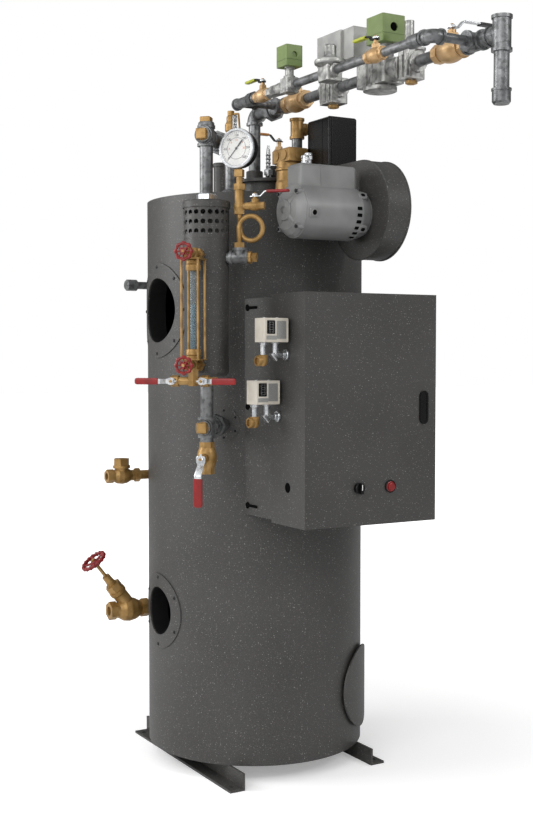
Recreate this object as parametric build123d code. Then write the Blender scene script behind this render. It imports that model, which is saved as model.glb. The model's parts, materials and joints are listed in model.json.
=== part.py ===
# Upright steam boiler with its gas train, blower, water column and control cabinet.
# Millimetres. The origin is the shell's axis on the floor, +Z is up, the cabinet faces -Y.
import math
import os

from build123d import *

os.makedirs("parts", exist_ok=True)

# Shell: outer casing, its thickness, and the flue gap round the pressure vessel
SHELL_RADIUS = 305.0
SHELL_HEIGHT = 1522.0
JACKET = 50.0
FLUE_GAP = 33.0
END_PLATE = 12.0

# Feet: two steel angles with anchor holes
FOOT_HEIGHT = 46.0
FOOT_TOE = 44.0
FOOT_STEEL = 6.4
FOOT_INSET = 3.0
FOOT_SPREAD = 200.0
ANCHOR_RADIUS = 7.0
ANCHOR_INSET = 27.0
ANCHOR_FROM_HEEL = 26.0

# Round openings on the left side, with their rings, and the cover low on the right
FLUE_DROP = 306.0
FLUE_RADIUS = 88.0
FLUE_RIM = 42.0
CLEANOUT_HEIGHT = 433.0
CLEANOUT_RADIUS = 66.0
CLEANOUT_RIM = 38.0
RING_STEEL = 3.0
COVER_HEIGHT = 209.0
COVER_RADIUS = 114.0
COVER_BOSS = 96.0
COVER_STANDOFF = 8.0
COVER_STEEL = 4.0
COVER_TURN = 43.0
COLUMN_RING = (44.0, 2.0)

# Control cabinet on its bracket
CABINET_WIDTH = 396.0
CABINET_HEIGHT = 579.0
CABINET_DEPTH = 143.0
CABINET_BASE = 715.0
CABINET_SHIFT = 24.0
CABINET_STANDOFF = 89.0
DOOR_DEPTH = 18.0
DOOR_LIP = 11.0
SHEET = 2.5
BRACKET_SIDE_STEP = 2.0
BRACKET_END_STEP = 7.0
KEYHOLE_RADIUS = 7.0
KEYHOLE_SLOT = 45.0
KEYHOLE_WIDTH = 6.0
KEYHOLE_FROM_SHELL = 19.0
KEYHOLE_FROM_END = 25.0
HANDLE_LENGTH = 85.0
HANDLE_WIDTH = 26.0
HANDLE_HEIGHT = 1006.5
HANDLE_FROM_EDGE = 39.0
HANDLE_STEEL = 4.0
HANDLE_RIM = 5.0
KNOB_RADIUS = 14.0
KNOB_LENGTH = 18.0
KNOB_SHIFT = -41.0
LAMP_SHIFT = 55.0
LAMP_RADIUS = 13.0
LAMP_LENGTH = 10.0
PANEL_HEIGHT = 809.0

# Pressure controls beside the cabinet
CONTROL_WIDTH = 68.0
CONTROL_DEPTH = 49.0
CONTROL_TALL = 59.0
CONTROL_GAP = 8.0
CONTROL_UPPER = 1172.0
CONTROL_LOWER = 1018.0
CONTROL_UPPER_FORWARD = 97.0
CONTROL_LOWER_FORWARD = 56.0
CONTROL_STEM = 14.0
CONTROL_NIPPLE = 22.0
CONDUIT_RADIUS = 8.0
CONDUIT_DROP = 32.0
CONDUIT_RING = 14.0

# Threaded pipes and fittings
PIPE_RADIUS = 16.7
GAS_PIPE_RADIUS = 13.4
SMALL_PIPE_RADIUS = 10.5
FITTING_RADIUS = 20.0
FITTING_REACH = 26.0
BAND_WIDTH = 7.0
BAND_STEP = 2.5
UNION_WIDTH = 56.0
UNION_LENGTH = 42.0
PLUG_COLLAR = 8.0
PLUG_SQUARE = 19.0
PLUG_HEAD = 13.0

# Water column on the front left diagonal
COLUMN_STANDOFF = 146.0
COLUMN_RADIUS = 56.0
COLUMN_DROP = 481.0
COLUMN_LENGTH = 343.0
COLUMN_CHAMFER = 9.0
COVER_LENGTH = 77.0
COVER_WALL = 2.5
CAP_LENGTH = 18.0
CAP_STEP = 3.0
VENT_ROWS = 3
VENT_COLUMNS = 20
VENT_RADIUS = 6.2
VENT_PITCH = 23.5
CAP_NUT = 40.0
CAP_NUT_LENGTH = 18.0
LOWER_CROSS_DROP = 129.0
UPPER_CROSS_RISE = 144.0
RISER_INSET = 70.0
RISER_FLANGE = 27.0
RISER_FLANGE_LENGTH = 12.0
BLOWDOWN_COCK_LENGTH = 81.0
BLOWDOWN_COCK_RADIUS = 25.0
BLOWDOWN_COCK_GAP = 11.0
BLOWDOWN_STEM = 49.0
DRAIN_BORE = 12.0
DRAIN_BORE_DEPTH = 15.0

# Gauge glass
GLASS_STANDOFF = 107.0
GLASS_RADIUS = 8.5
UPPER_VALVE_RISE = 300.0
LOWER_VALVE_RISE = 29.0
UPPER_SEAT = 26.0
LOWER_SEAT = 32.0
GAUGE_VALVE_RADIUS = 9.5
GAUGE_VALVE_LENGTH = 54.0
GUARD_OUT = 27.0
GUARD_ACROSS = 21.0
GUARD_ROD = 3.0
GUARD_PLATE = 3.0
GUARD_MARGIN = 5.0
GAUGE_WHEEL_RADIUS = 24.5
GAUGE_WHEEL_WIDTH = 9.0
GAUGE_WHEEL_STANDOFF = 15.0
GAUGE_WHEEL_LOBES = 8
MANIFOLD_DROP = 39.0
MANIFOLD_RADIUS = 10.0
MANIFOLD_LEFT = 57.0
MANIFOLD_RIGHT = 60.0
DRAIN_COCK_LEFT = 47.0
DRAIN_COCK_RIGHT = 30.0
DRAIN_STEM = 27.0

# Pressure gauge, siphon and test cock beside the column
GAUGE_TEE_RISE = 296.0
GAUGE_TEE_ACROSS = 86.0
GAUGE_TEE_RADIUS = 16.0
GAUGE_TEE_REACH = 24.0
SIPHON_TUBE = 6.0
SIPHON_LOOP = 30.0
SIPHON_PITCH = 14.0
SIPHON_RISE = 83.0
SIPHON_COIL_RISE = 48.0
SIPHON_NUT = 24.0
SIPHON_NUT_LENGTH = 13.0
TEST_BODY_LENGTH = 60.0
TEST_BODY_RADIUS = 12.0
TEST_HEAD_LENGTH = 51.0
TEST_COCK_RISE = 20.0
TEST_COCK_LENGTH = 49.0
TEST_COCK_START = 16.0
TEST_STEM = 22.0
GAUGE_STEM = 50.5
GAUGE_RADIUS = 49.5
GAUGE_DEPTH = 34.0
GAUGE_BEZEL = 8.0
GAUGE_RECESS = 4.0
GAUGE_TURN = 30.0

# Burner on the top plate
BURNER_X = 60.0
BURNER_Y = 30.0
BURNER_RADIUS = 75.0
BURNER_TALL = 64.0
BURNER_FLANGE = 9.0
BURNER_LIP = 17.0
BURNER_FOOT_LIP = 7.0
BURNER_BOLTS = 6
BURNER_BOSS = 24.0
BURNER_BOSS_TALL = 21.0
PEEP_SHIFT = (4.0, -26.0)
PEEP_RADIUS = 14.0
PEEP_TALL = 41.0
ELECTRODE_SHIFT = (-23.0, -44.0)

# Main gas train, from the burner towards the front
GAS_RISE = 251.0
ELBOW_REACH = 28.0
BURNER_NIPPLE = 62.0
GAS_UNION_LENGTH = 36.0
GAS_UNION_WIDTH = 58.0
GAS_COCK_LENGTH = 106.0
GAS_COCK_RADIUS = 28.0
GAS_COCK_STEM = 48.0
FIRST_RUN = 89.0
FIRST_VALVE_LENGTH = 76.0
FIRST_VALVE_WIDTH = 52.0
SECOND_RUN = 109.0
MAIN_VALVE_LENGTH = 155.0
MAIN_VALVE_WIDTH = 84.0
ACTUATOR_LENGTH = 154.0
ACTUATOR_TALL = 75.0
ACTUATOR_WIDTH = 80.0
ACTUATOR_OVERHANG = 25.0
ACTUATOR_RISE = 55.0
ACTUATOR_SEAT = 66.0
FIRST_BONNET = 15.0
GREEN_BOX = 66.0
GREEN_TALL = 64.0
SEAM_RISE = 0.28
SEAM_DEPTH = 1.0
SEAM_WIDTH = 1.5
CAST_LIP = 3.0
SECOND_VALVE_LENGTH = 60.0
SECOND_VALVE_WIDTH = 48.0
VENT_STUB_RADIUS = 11.0
VENT_STUB_TALL = 64.0
THIRD_RUN = 67.0
INLET_REACH = 29.0
INLET_NIPPLE = 19.0
DRIP_REACH = 38.0
DRIP_LEG = 110.0
DRIP_CAP = 33.0
INLET_BORE = 15.0
INLET_BORE_DEPTH = 20.0

# Pilot gas line beside the main train
PILOT_OFFSET = 120.0
PILOT_FITTING = 14.0
PILOT_REACH = 38.0
PILOT_UNION = 32.0
PILOT_COCK_LENGTH = 68.0
PILOT_COCK_RADIUS = 18.0
PILOT_COCK_STEM = 34.0
PILOT_ADAPTER = 55.0
PILOT_VALVE_LENGTH = 80.0
PILOT_VALVE_WIDTH = 36.0
PILOT_BONNET = 28.0
PILOT_BOX = 50.0
PILOT_RUN = 123.0
REGULATOR_LENGTH = 64.0
REGULATOR_RADIUS = 37.0
PILOT_SECOND_RUN = 124.0

# Steam outlet, top cock, safety valve and rear probe on the top plate
STEAM_X = 27.5
STEAM_Y = -150.0
STEAM_RADIUS = 37.0
STEAM_TALL = 100.0
STEAM_HEAD_WIDTH = 63.0
STEAM_HEAD_LENGTH = 94.0
STEAM_HEAD_TALL = 37.0
STEAM_TEE_SHIFT = 17.5
STEAM_PIPE = 14.0
STEAM_PIPE_TALL = 29.0
STEAM_TEE_REACH = 28.0
TOP_COCK_SHIFT = (56.0, 30.0)
TOP_COCK_PIPE = 11.0
TOP_COCK_START = 59.0
TOP_COCK_TALL = 123.0
SAFETY_TALL = 76.0
PROBE_X = -100.0
PROBE_Y = 20.0
PROBE_RADIUS = 19.0
PROBE_TALL = 112.0

# Blower: scroll housing, duct to the burner, motor and control box
FAN_FORWARD = 125.0
FAN_DROP = 54.0
FAN_SIDE = 70.0
FAN_WIDTH = 70.0
FAN_RADIUS = 129.0
FAN_RIM = 4.0
AIR_PLATE_RADIUS = 62.0
AIR_PLATE_STEEL = 4.0
AIR_SLOTS = 6
DUCT_CLEARANCE = 3.0
MOTOR_RADIUS = 69.0
MOTOR_LENGTH = 225.0
MOTOR_DROP = 12.0
MOTOR_FLANGE = 10.0
MOTOR_FLANGE_RADIUS = 56.0
END_BELL = 24.0
MOTOR_EAR = 7.0
MOTOR_EARS = 4
MOTOR_BOX_START = 23.0
MOTOR_BOX_LENGTH = 170.0
MOTOR_BOX_WIDTH = 68.0
MOTOR_BOX_TALL = 58.0
MOTOR_BOX_SEAT = 58.0
IGNITION_LENGTH = 116.0
IGNITION_WIDTH = 90.0
IGNITION_TALL = 135.0
IGNITION_BACK = 214.0
IGNITION_CORNER = 9.0

# Feed and blowdown valves on the left side
SIDE_Y = 150.0
STUB_DROP = 230.5
STUB_REACH = 30.0
STUB_CAP = 32.0
STUB_CAP_RADIUS = 16.0
FEED_HEIGHT = 797.0
FEED_REACH = 91.0
FEED_RADIUS = 19.0
FEED_BONNET = 24.0
FEED_BORE = 10.0
BLOW_HEIGHT = 413.0
BLOW_REACH = 86.0
BLOW_RADIUS = 34.0
BLOW_BORE = 13.0
SIDE_BORE_DEPTH = 18.0
BONNET_TILT = 38.0
BONNET_ROOT = 17.0
BONNET_LENGTH = 96.0
BONNET_STEM = 32.0
WHEEL_RISE = 58.0
WHEEL_RADIUS = 40.5
WHEEL_RIM = 4.5
WHEEL_SPOKES = 5

# Strap levers: length from the stem, how far the strap stands off, and its width
LONG_LEVER = (128.0, 18.0, 17.0)
PILOT_LEVER = (88.0, 12.0, 12.0)
DRAIN_LEVER = (90.0, 12.0, 12.0)
TEST_LEVER = (88.0, 12.0, 12.0)
COLUMN_LEVER = (118.0, 24.0, 17.0)
TOP_LEVER = (78.0, 16.0, 12.0)
LEVER_STEEL = 3.0
LEVER_GRIP = 8.0
LEVER_HEAD = 10.0
LEVER_NUT = 6.0
GRIP_OVER_STEEL = 3.0

# Places worked out from the sizes above
HALF = math.sqrt(0.5)
OUT = Vector(-HALF, -HALF, 0)
ACROSS = Vector(HALF, -HALF, 0)
UP = Vector(0, 0, 1)
DOWN = Vector(0, 0, -1)
LEFT = Vector(-1, 0, 0)
RIGHT = Vector(1, 0, 0)
FRONT = Vector(0, -1, 0)
BACK = Vector(0, 1, 0)
base_z = FOOT_HEIGHT
foot_half = SHELL_RADIUS - FOOT_INSET
top_z = FOOT_HEIGHT + SHELL_HEIGHT
burner_lid_z = top_z + BURNER_TALL + BURNER_FLANGE
gas_z = top_z + GAS_RISE
column_base = top_z - COLUMN_DROP
column_out = SHELL_RADIUS + COLUMN_STANDOFF
glass_out = column_out + GLASS_STANDOFF
cover_z = column_base + COLUMN_LENGTH
cap_z = cover_z + COVER_LENGTH + CAP_LENGTH + CAP_NUT_LENGTH
upper_z = cap_z + UPPER_CROSS_RISE
lower_z = column_base - LOWER_CROSS_DROP
riser_out = SHELL_RADIUS - RISER_INSET
cabinet_left = CABINET_SHIFT - CABINET_WIDTH / 2
cabinet_right = CABINET_SHIFT + CABINET_WIDTH / 2
cabinet_back = -(SHELL_RADIUS + CABINET_STANDOFF)
seam_y = cabinet_back - CABINET_DEPTH
door_y = seam_y - DOOR_DEPTH
cabinet_top = CABINET_BASE + CABINET_HEIGHT
union_y = -(ELBOW_REACH + BURNER_NIPPLE)
first_tee_y = union_y - GAS_UNION_LENGTH - FITTING_REACH
first_cock_y = first_tee_y - FITTING_REACH
first_pipe_y = first_cock_y - GAS_COCK_LENGTH
first_valve_y = first_pipe_y - FIRST_RUN
second_pipe_y = first_valve_y - FIRST_VALVE_LENGTH
main_valve_y = second_pipe_y - SECOND_RUN
main_centre_y = main_valve_y - MAIN_VALVE_LENGTH * 0.38
green_box_y = main_centre_y - GREEN_BOX / 3
second_valve_y = main_valve_y - MAIN_VALVE_LENGTH
third_pipe_y = second_valve_y - SECOND_VALVE_LENGTH
second_cock_y = third_pipe_y - THIRD_RUN
inlet_tee_y = second_cock_y - GAS_COCK_LENGTH - INLET_REACH
drip_y = inlet_tee_y - INLET_REACH - INLET_NIPPLE - DRIP_REACH
pilot_x = -PILOT_OFFSET
pilot_cock_y = first_tee_y - PILOT_REACH - PILOT_UNION
adapter_y = pilot_cock_y - PILOT_COCK_LENGTH
pilot_valve_y = adapter_y - PILOT_ADAPTER
pilot_pipe_y = pilot_valve_y - PILOT_VALVE_LENGTH
regulator_y = pilot_pipe_y - PILOT_RUN
pilot_second_y = regulator_y - REGULATOR_LENGTH
second_pilot_y = pilot_second_y - PILOT_SECOND_RUN
fan_y = -(SHELL_RADIUS + FAN_FORWARD)
fan_z = top_z - FAN_DROP
tilt = math.radians(BONNET_TILT)
bonnet_axis = Vector(-math.sin(tilt), 0, math.cos(tilt))
bonnet_root = Vector(-SHELL_RADIUS - BONNET_ROOT, SIDE_Y, BLOW_HEIGHT)

parts = {}


def spot(out, across, height):
    """A point in the water column's own directions."""
    return OUT * out + ACROSS * across + UP * height


def join(pieces):
    whole = pieces[0]
    for piece in pieces[1:]:
        whole = whole + piece
    return whole


def rod(start, end, radius):
    start = Vector(start)
    axis = Vector(end) - start
    return Solid.make_cylinder(radius, axis.length, Plane(origin=start, z_dir=axis))


def block(low, high, rounding=0.0):
    size = Vector(high) - Vector(low)
    body = Pos(*((Vector(high) + Vector(low)) / 2)) * Box(size.X, size.Y, size.Z)
    if rounding:
        body = fillet(body.edges().filter_by(Axis.Z), rounding)
    return body


def spun(start, direction, outline):
    """Spin an outline of (radius, distance) points about a line."""
    points = [(radius, 0, distance) for radius, distance in outline]
    points = [(0, 0, outline[0][1])] + points + [(0, 0, outline[-1][1])]
    body = revolve(make_face(Polyline(*points, close=True)), Axis.Z)
    return Plane(origin=Vector(start), z_dir=Vector(direction)) * body


def prism(start, end, across_flats, sides=6):
    start = Vector(start)
    axis = Vector(end) - start
    face = RegularPolygon(across_flats / 2, sides, major_radius=False)
    return extrude(Plane(origin=start, z_dir=axis) * face, axis.length)


def elbow(corner, first, second, radius, reach):
    """A swept quarter bend with a band at each mouth."""
    corner = Vector(corner)
    first = Vector(first).normalized()
    second = Vector(second).normalized()
    path = FilletPolyline(corner + first * reach, corner, corner + second * reach, radius=radius * 1.05)
    bend = sweep(Plane(origin=corner + first * reach, z_dir=-first) * Circle(radius), path=path)
    bands = [
        rod(corner + arm * (reach - BAND_WIDTH), corner + arm * reach, radius + BAND_STEP)
        for arm in (first, second)
    ]
    return join([bend] + bands)


def junction(centre, arms, radius, reach):
    """A tee or cross: a barrel for each arm, with a band at its mouth."""
    centre = Vector(centre)
    pieces = [Pos(*centre) * Sphere(radius)]
    for arm in arms:
        arm = Vector(arm).normalized()
        pieces.append(rod(centre, centre + arm * reach, radius))
        pieces.append(rod(centre + arm * (reach - BAND_WIDTH), centre + arm * reach, radius + BAND_STEP))
    return join(pieces)


def union(start, direction, length, width):
    """A ground joint union: a big nut between two tapered collars."""
    start = Vector(start)
    along = Vector(direction).normalized()
    collar = width * 0.38
    outline = ((collar, 0), (collar * 1.12, length * 0.2), (collar * 1.12, length * 0.8), (collar, length))
    nut = prism(start + along * length * 0.16, start + along * length * 0.72, width, 8)
    return spun(start, along, outline) + nut


def plug(start, direction, collar=36.0, square=PLUG_SQUARE):
    start = Vector(start)
    along = Vector(direction).normalized()
    body = prism(start, start + along * PLUG_COLLAR, collar, 8)
    return body + prism(start + along * PLUG_COLLAR, start + along * (PLUG_COLLAR + PLUG_HEAD), square, 4)


def ball_cock(start, end, radius, stem, stem_length, stem_radius):
    """A forged ball valve: octagon ends, a swelled body and a stem with its gland nut."""
    start = Vector(start)
    end = Vector(end)
    along = (end - start).normalized()
    length = (end - start).length
    middle = (start + end) / 2
    stem = Vector(stem)
    ends = radius * 1.5
    swell = ((ends * 0.5, length * 0.16), (radius * 0.93, length * 0.3), (radius, length * 0.42),
             (radius, length * 0.6), (radius * 0.86, length * 0.72), (ends * 0.5, length * 0.84))
    pieces = [
        prism(start, start + along * length * 0.2, ends, 8),
        spun(start, along, swell),
        prism(end - along * length * 0.2, end, ends, 8),
        rod(middle, middle + stem * (stem_length * 0.78), stem_radius * 1.6),
        rod(middle, middle + stem * stem_length, stem_radius),
    ]
    return join(pieces)


def lever(hub, stem, arm, size, grip_share=0.6):
    """A bent strap lever with a dipped grip, on the end of a stem."""
    reach, rise, width = size
    stem = Vector(stem)
    face = Plane(origin=Vector(hub), x_dir=Vector(arm), z_dir=Vector(arm).cross(stem))
    flat = LEVER_HEAD + LEVER_STEEL
    bent = flat + rise
    outline = Polyline(
        (-LEVER_HEAD, 0), (flat, 0), (bent, rise), (reach, rise), (reach, rise + LEVER_STEEL),
        (bent - 1, rise + LEVER_STEEL), (flat - 1, LEVER_STEEL), (-LEVER_HEAD, LEVER_STEEL), close=True,
    )
    side = extrude(face * make_face(outline), width, both=True)
    plan = Plane(origin=Vector(hub), x_dir=Vector(arm), z_dir=stem)
    tall = rise + LEVER_GRIP
    shape = Pos((reach - LEVER_HEAD) / 2, 0) * SlotOverall(reach + LEVER_HEAD, width)
    strap = side & extrude(plan * shape, tall)
    grip_start = bent + (reach - bent) * (1 - grip_share) * 0.3
    grip = SlotOverall(reach - grip_start, width + GRIP_OVER_STEEL)
    seat = Pos((grip_start + reach) / 2, 0, rise + (LEVER_STEEL - LEVER_GRIP) / 2)
    handle = extrude(plan * seat * grip, LEVER_GRIP)
    start = Vector(hub) + stem * LEVER_STEEL
    return join([strap, handle, prism(start, start + stem * LEVER_NUT, 2 * LEVER_NUT)])


def handwheel(centre, axis, radius, rim, stem_length, stem_radius, spokes):
    """A cast handwheel: round rim, hub, spokes and its stem below."""
    centre = Vector(centre)
    axis = Vector(axis).normalized()
    place = Plane(origin=centre, z_dir=axis)
    ring = place * revolve(Plane.XZ * Pos(radius - rim, 0) * RegularPolygon(rim, 10), Axis.Z)
    hub = radius * 0.24
    outline = ((hub * 0.7, -rim * 2), (hub, -rim), (hub, rim), (hub * 0.6, rim * 1.8))
    pieces = [ring, spun(centre, axis, outline)]
    for turn in range(spokes):
        away = place.x_dir.rotate(Axis((0, 0, 0), tuple(axis)), turn * 360 / spokes)
        pieces.append(rod(centre, centre + away * (radius - rim), rim * 0.75))
    pieces.append(rod(centre - axis * stem_length, centre, stem_radius))
    return join(pieces)


def shell_plate(inner, thickness, direction, height, radius, hole=0.0):
    """A round plate rolled to the shell's curve."""
    layer = Cylinder(inner + thickness, radius * 3) - Cylinder(inner, radius * 3)
    start = UP * height + Vector(direction) * (inner * 0.5)
    end = UP * height + Vector(direction) * (inner + thickness + 10)
    plate = (Pos(0, 0, height) * layer) & rod(start, end, radius)
    if hole:
        plate = plate - rod(start, end, hole)
    return plate


def foot(side):
    """A rolled angle under the shell with an anchor hole near each end."""
    heel = FOOT_SPREAD
    outline = Polyline(
        (side * heel, 0), (side * (heel + FOOT_TOE), 0), (side * (heel + FOOT_TOE), FOOT_STEEL),
        (side * (heel + FOOT_STEEL), FOOT_STEEL), (side * (heel + FOOT_STEEL), FOOT_HEIGHT),
        (side * heel, FOOT_HEIGHT), close=True,
    )
    angle = extrude(Plane.XZ * make_face(outline), foot_half, both=True)
    for end in (-1, 1):
        place = (side * (heel + ANCHOR_FROM_HEEL), end * (foot_half - ANCHOR_INSET), FOOT_STEEL / 2)
        angle = angle - Pos(*place) * Cylinder(ANCHOR_RADIUS, FOOT_STEEL * 2)
    return angle


def casing():
    low = UP * (base_z + END_PLATE)
    high = UP * (top_z - END_PLATE)
    wall = rod(low, high, SHELL_RADIUS) - rod(low, high, SHELL_RADIUS - JACKET)
    for height, radius in ((top_z - FLUE_DROP, FLUE_RADIUS), (CLEANOUT_HEIGHT, CLEANOUT_RADIUS)):
        wall = wall - rod(UP * height, UP * height + LEFT * (SHELL_RADIUS + 20), radius)
    return wall


def bracket():
    """The open channel that carries the cabinet, coped to the shell."""
    left = cabinet_left + BRACKET_SIDE_STEP
    right = cabinet_right - BRACKET_SIDE_STEP
    low = CABINET_BASE + BRACKET_END_STEP
    high = cabinet_top - BRACKET_END_STEP
    frame = block((left, cabinet_back, low), (right, 0, high))
    frame = frame - block((left + SHEET, cabinet_back - 1, low + SHEET), (right - SHEET, 1, high - SHEET))
    frame = frame - rod(UP * (low - 1), UP * (high + 1), SHELL_RADIUS)
    shell_y = -math.sqrt(SHELL_RADIUS**2 - left**2)
    round_y = shell_y - KEYHOLE_FROM_SHELL
    for height in (low + KEYHOLE_FROM_END, (low + high) / 2, high - KEYHOLE_FROM_END):
        hole = rod((left - 1, round_y, height), (left + SHEET + 1, round_y, height), KEYHOLE_RADIUS)
        slot = block(
            (left - 1, round_y - KEYHOLE_SLOT, height - KEYHOLE_WIDTH / 2),
            (left + SHEET + 1, round_y, height + KEYHOLE_WIDTH / 2),
        )
        frame = frame - hole - slot
    return frame


def cabinet():
    box = block((cabinet_left, seam_y, CABINET_BASE), (cabinet_right, cabinet_back, cabinet_top))
    mouth = box.faces().sort_by(Axis.Y)[0]
    return offset(box, amount=-SHEET, openings=mouth)


def door():
    """A folded pan with a return lip, so its edge is stiff."""
    pan = block((cabinet_left, door_y, CABINET_BASE), (cabinet_right, seam_y, cabinet_top))
    pan = offset(pan, amount=-SHEET, openings=pan.faces().sort_by(Axis.Y)[-1])
    lip = block((cabinet_left, seam_y - SHEET, CABINET_BASE), (cabinet_right, seam_y, cabinet_top))
    reach = SHEET + DOOR_LIP
    lip = lip - block(
        (cabinet_left + reach, seam_y - SHEET - 1, CABINET_BASE + reach),
        (cabinet_right - reach, seam_y + 1, cabinet_top - reach),
    )
    return pan + lip


def pressure_control(forward, floor):
    front = cabinet_back - forward
    right = cabinet_left - CONTROL_GAP
    low = (right - CONTROL_WIDTH, front, floor)
    return block(low, (right, front + CONTROL_DEPTH, floor + CONTROL_TALL), 2)


def control_fittings(forward, floor):
    """The nipple with its elbow, and the conduit bend into the cabinet's side."""
    middle_y = cabinet_back - forward + CONTROL_DEPTH / 2
    left = cabinet_left - CONTROL_GAP - CONTROL_WIDTH
    nipple = Vector(left + CONTROL_STEM, middle_y + CONDUIT_RADIUS, floor)
    corner = nipple - UP * (CONTROL_NIPPLE + CONTROL_STEM)
    pipe = rod(nipple, nipple - UP * CONTROL_NIPPLE, CONDUIT_RADIUS * 0.8)
    bend = elbow(corner, UP, LEFT, CONDUIT_RADIUS, CONTROL_STEM)
    high = Vector(left + CONTROL_WIDTH * 0.62, middle_y - CONDUIT_RADIUS / 2, floor)
    turn = high - UP * CONDUIT_DROP
    wall = Vector(cabinet_left, turn.Y, turn.Z)
    path = FilletPolyline(high, turn, wall, radius=CONDUIT_RADIUS * 1.2)
    conduit = sweep(Plane(origin=high, z_dir=DOWN) * Circle(CONDUIT_RADIUS), path=path)
    ring = prism(wall + LEFT * 5, wall, CONDUIT_RING * 2, 8)
    return [pipe + bend, conduit + ring]


def probe_cover():
    """The perforated cover over the level probes, with its cap and nut."""
    low = spot(column_out, 0, cover_z)
    outer = COLUMN_RADIUS + 1
    tube = rod(low, low + UP * COVER_LENGTH, outer)
    tube = tube - rod(low + UP * 4, low + UP * COVER_LENGTH, outer - COVER_WALL)
    middle = low + UP * (COVER_LENGTH / 2 + 2)
    for row in range(VENT_ROWS):
        height = (row - (VENT_ROWS - 1) / 2) * VENT_PITCH
        for turn in range(VENT_COLUMNS):
            angle = 360 * turn / VENT_COLUMNS
            away = Vector(math.cos(math.radians(angle)), math.sin(math.radians(angle)), 0)
            start = middle + UP * height + away * (outer - 3 * COVER_WALL)
            tube = tube - rod(start, start + away * (4 * COVER_WALL), VENT_RADIUS)
    lid = low + UP * COVER_LENGTH
    radius = outer + CAP_STEP
    cap = spun(lid, UP, ((radius, 0), (radius, CAP_LENGTH - 3), (radius - 3, CAP_LENGTH)))
    nut = prism(lid + UP * CAP_LENGTH, lid + UP * (CAP_LENGTH + CAP_NUT_LENGTH), CAP_NUT)
    return join([tube, cap, nut])


def upper_pipes():
    top = spot(column_out, 0, upper_z)
    corner = spot(riser_out, 0, upper_z)
    seat = spot(riser_out, 0, top_z)
    middle = spot((column_out + riser_out) / 2 + UNION_LENGTH / 2, 0, upper_z)
    flange = (
        (RISER_FLANGE, 0), (RISER_FLANGE, RISER_FLANGE_LENGTH * 0.6),
        (PIPE_RADIUS + 3, RISER_FLANGE_LENGTH),
    )
    return join([
        rod(spot(column_out, 0, cap_z), top, PIPE_RADIUS),
        junction(top, (UP, DOWN, OUT, -OUT), FITTING_RADIUS, FITTING_REACH),
        rod(top, corner, PIPE_RADIUS),
        union(middle, -OUT, UNION_LENGTH, UNION_WIDTH),
        junction(corner, (UP, DOWN, OUT), FITTING_RADIUS, FITTING_REACH),
        rod(corner, seat, PIPE_RADIUS),
        spun(seat, UP, flange),
    ])


def lower_pipes():
    cross = spot(column_out, 0, lower_z)
    shell = spot(SHELL_RADIUS - JACKET / 2, 0, lower_z)
    start = spot((column_out + SHELL_RADIUS) / 2 + UNION_LENGTH / 2, 0, lower_z)
    piping = join([
        rod(spot(column_out, 0, column_base), cross, PIPE_RADIUS),
        junction(cross, (UP, DOWN, OUT, -OUT), FITTING_RADIUS, FITTING_REACH),
        rod(cross, shell, PIPE_RADIUS),
        union(start, -OUT, UNION_LENGTH, UNION_WIDTH),
        rod(cross, cross - UP * (FITTING_REACH + BLOWDOWN_COCK_GAP), PIPE_RADIUS),
    ])
    return piping - rod(UP * (lower_z - 60), UP * (lower_z + 60), SHELL_RADIUS)


def gauge_valve(height, seat_height):
    """A gauge glass valve: shank from the column, nuts, and the gland that holds the glass."""
    sign = 1 if seat_height > height else -1
    tip = glass_out + GAUGE_VALVE_LENGTH
    shank = column_out + COLUMN_RADIUS
    middle = spot(glass_out, 0, height)
    seat = spot(glass_out, 0, seat_height)
    body = join([
        rod(spot(column_out, 0, height), spot(tip, 0, height), GAUGE_VALVE_RADIUS),
        prism(spot(shank + 8, 0, height), spot(shank + 24, 0, height), GAUGE_VALVE_RADIUS * 3),
        prism(spot(tip - 24, 0, height), spot(tip - 8, 0, height), GAUGE_VALVE_RADIUS * 2.5),
        rod(middle - UP * sign * (GAUGE_VALVE_RADIUS + 4), seat, GLASS_RADIUS + 2.5),
        prism(seat - UP * sign * 14, seat, (GLASS_RADIUS + 5) * 2),
    ])
    return body - rod(spot(column_out, 0, column_base), spot(column_out, 0, cover_z), COLUMN_RADIUS)


def gauge_wheel(height):
    """A lobed moulded wheel on the gauge valve's stem."""
    tip = spot(glass_out + GAUGE_VALVE_LENGTH, 0, height)
    start = tip + OUT * GAUGE_WHEEL_STANDOFF
    place = Plane(origin=start, z_dir=OUT)
    lobe = GAUGE_WHEEL_RADIUS * 0.3
    core = GAUGE_WHEEL_RADIUS - lobe
    face = Circle(core) + PolarLocations(core, GAUGE_WHEEL_LOBES) * Circle(lobe)
    wheel = extrude(place * face, GAUGE_WHEEL_WIDTH)
    dish = place * Pos(0, 0, GAUGE_WHEEL_WIDTH) * Cylinder(core * 0.7, GAUGE_WHEEL_WIDTH * 0.7)
    return (wheel - dish) + rod(tip, start + OUT * GAUGE_WHEEL_WIDTH, GAUGE_WHEEL_RADIUS * 0.25)


def guard():
    """Four rods round the glass, held by a plate on each gauge valve."""
    low = column_base + LOWER_VALVE_RISE + 12
    high = column_base + UPPER_VALVE_RISE - 12
    pieces = []
    for height in (low, high - GUARD_PLATE):
        size = (2 * (GUARD_OUT + GUARD_MARGIN), 2 * (GUARD_ACROSS + GUARD_MARGIN))
        place = Plane(origin=spot(glass_out, 0, height), x_dir=OUT, z_dir=UP)
        pieces.append(extrude(place * RectangleRounded(*size, GUARD_MARGIN), GUARD_PLATE))
    for out in (-GUARD_OUT, GUARD_OUT):
        for across in (-GUARD_ACROSS, GUARD_ACROSS):
            foot_end = spot(glass_out + out, across, low)
            pieces.append(rod(foot_end, spot(glass_out + out, across, high), GUARD_ROD))
    return join(pieces)


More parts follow.
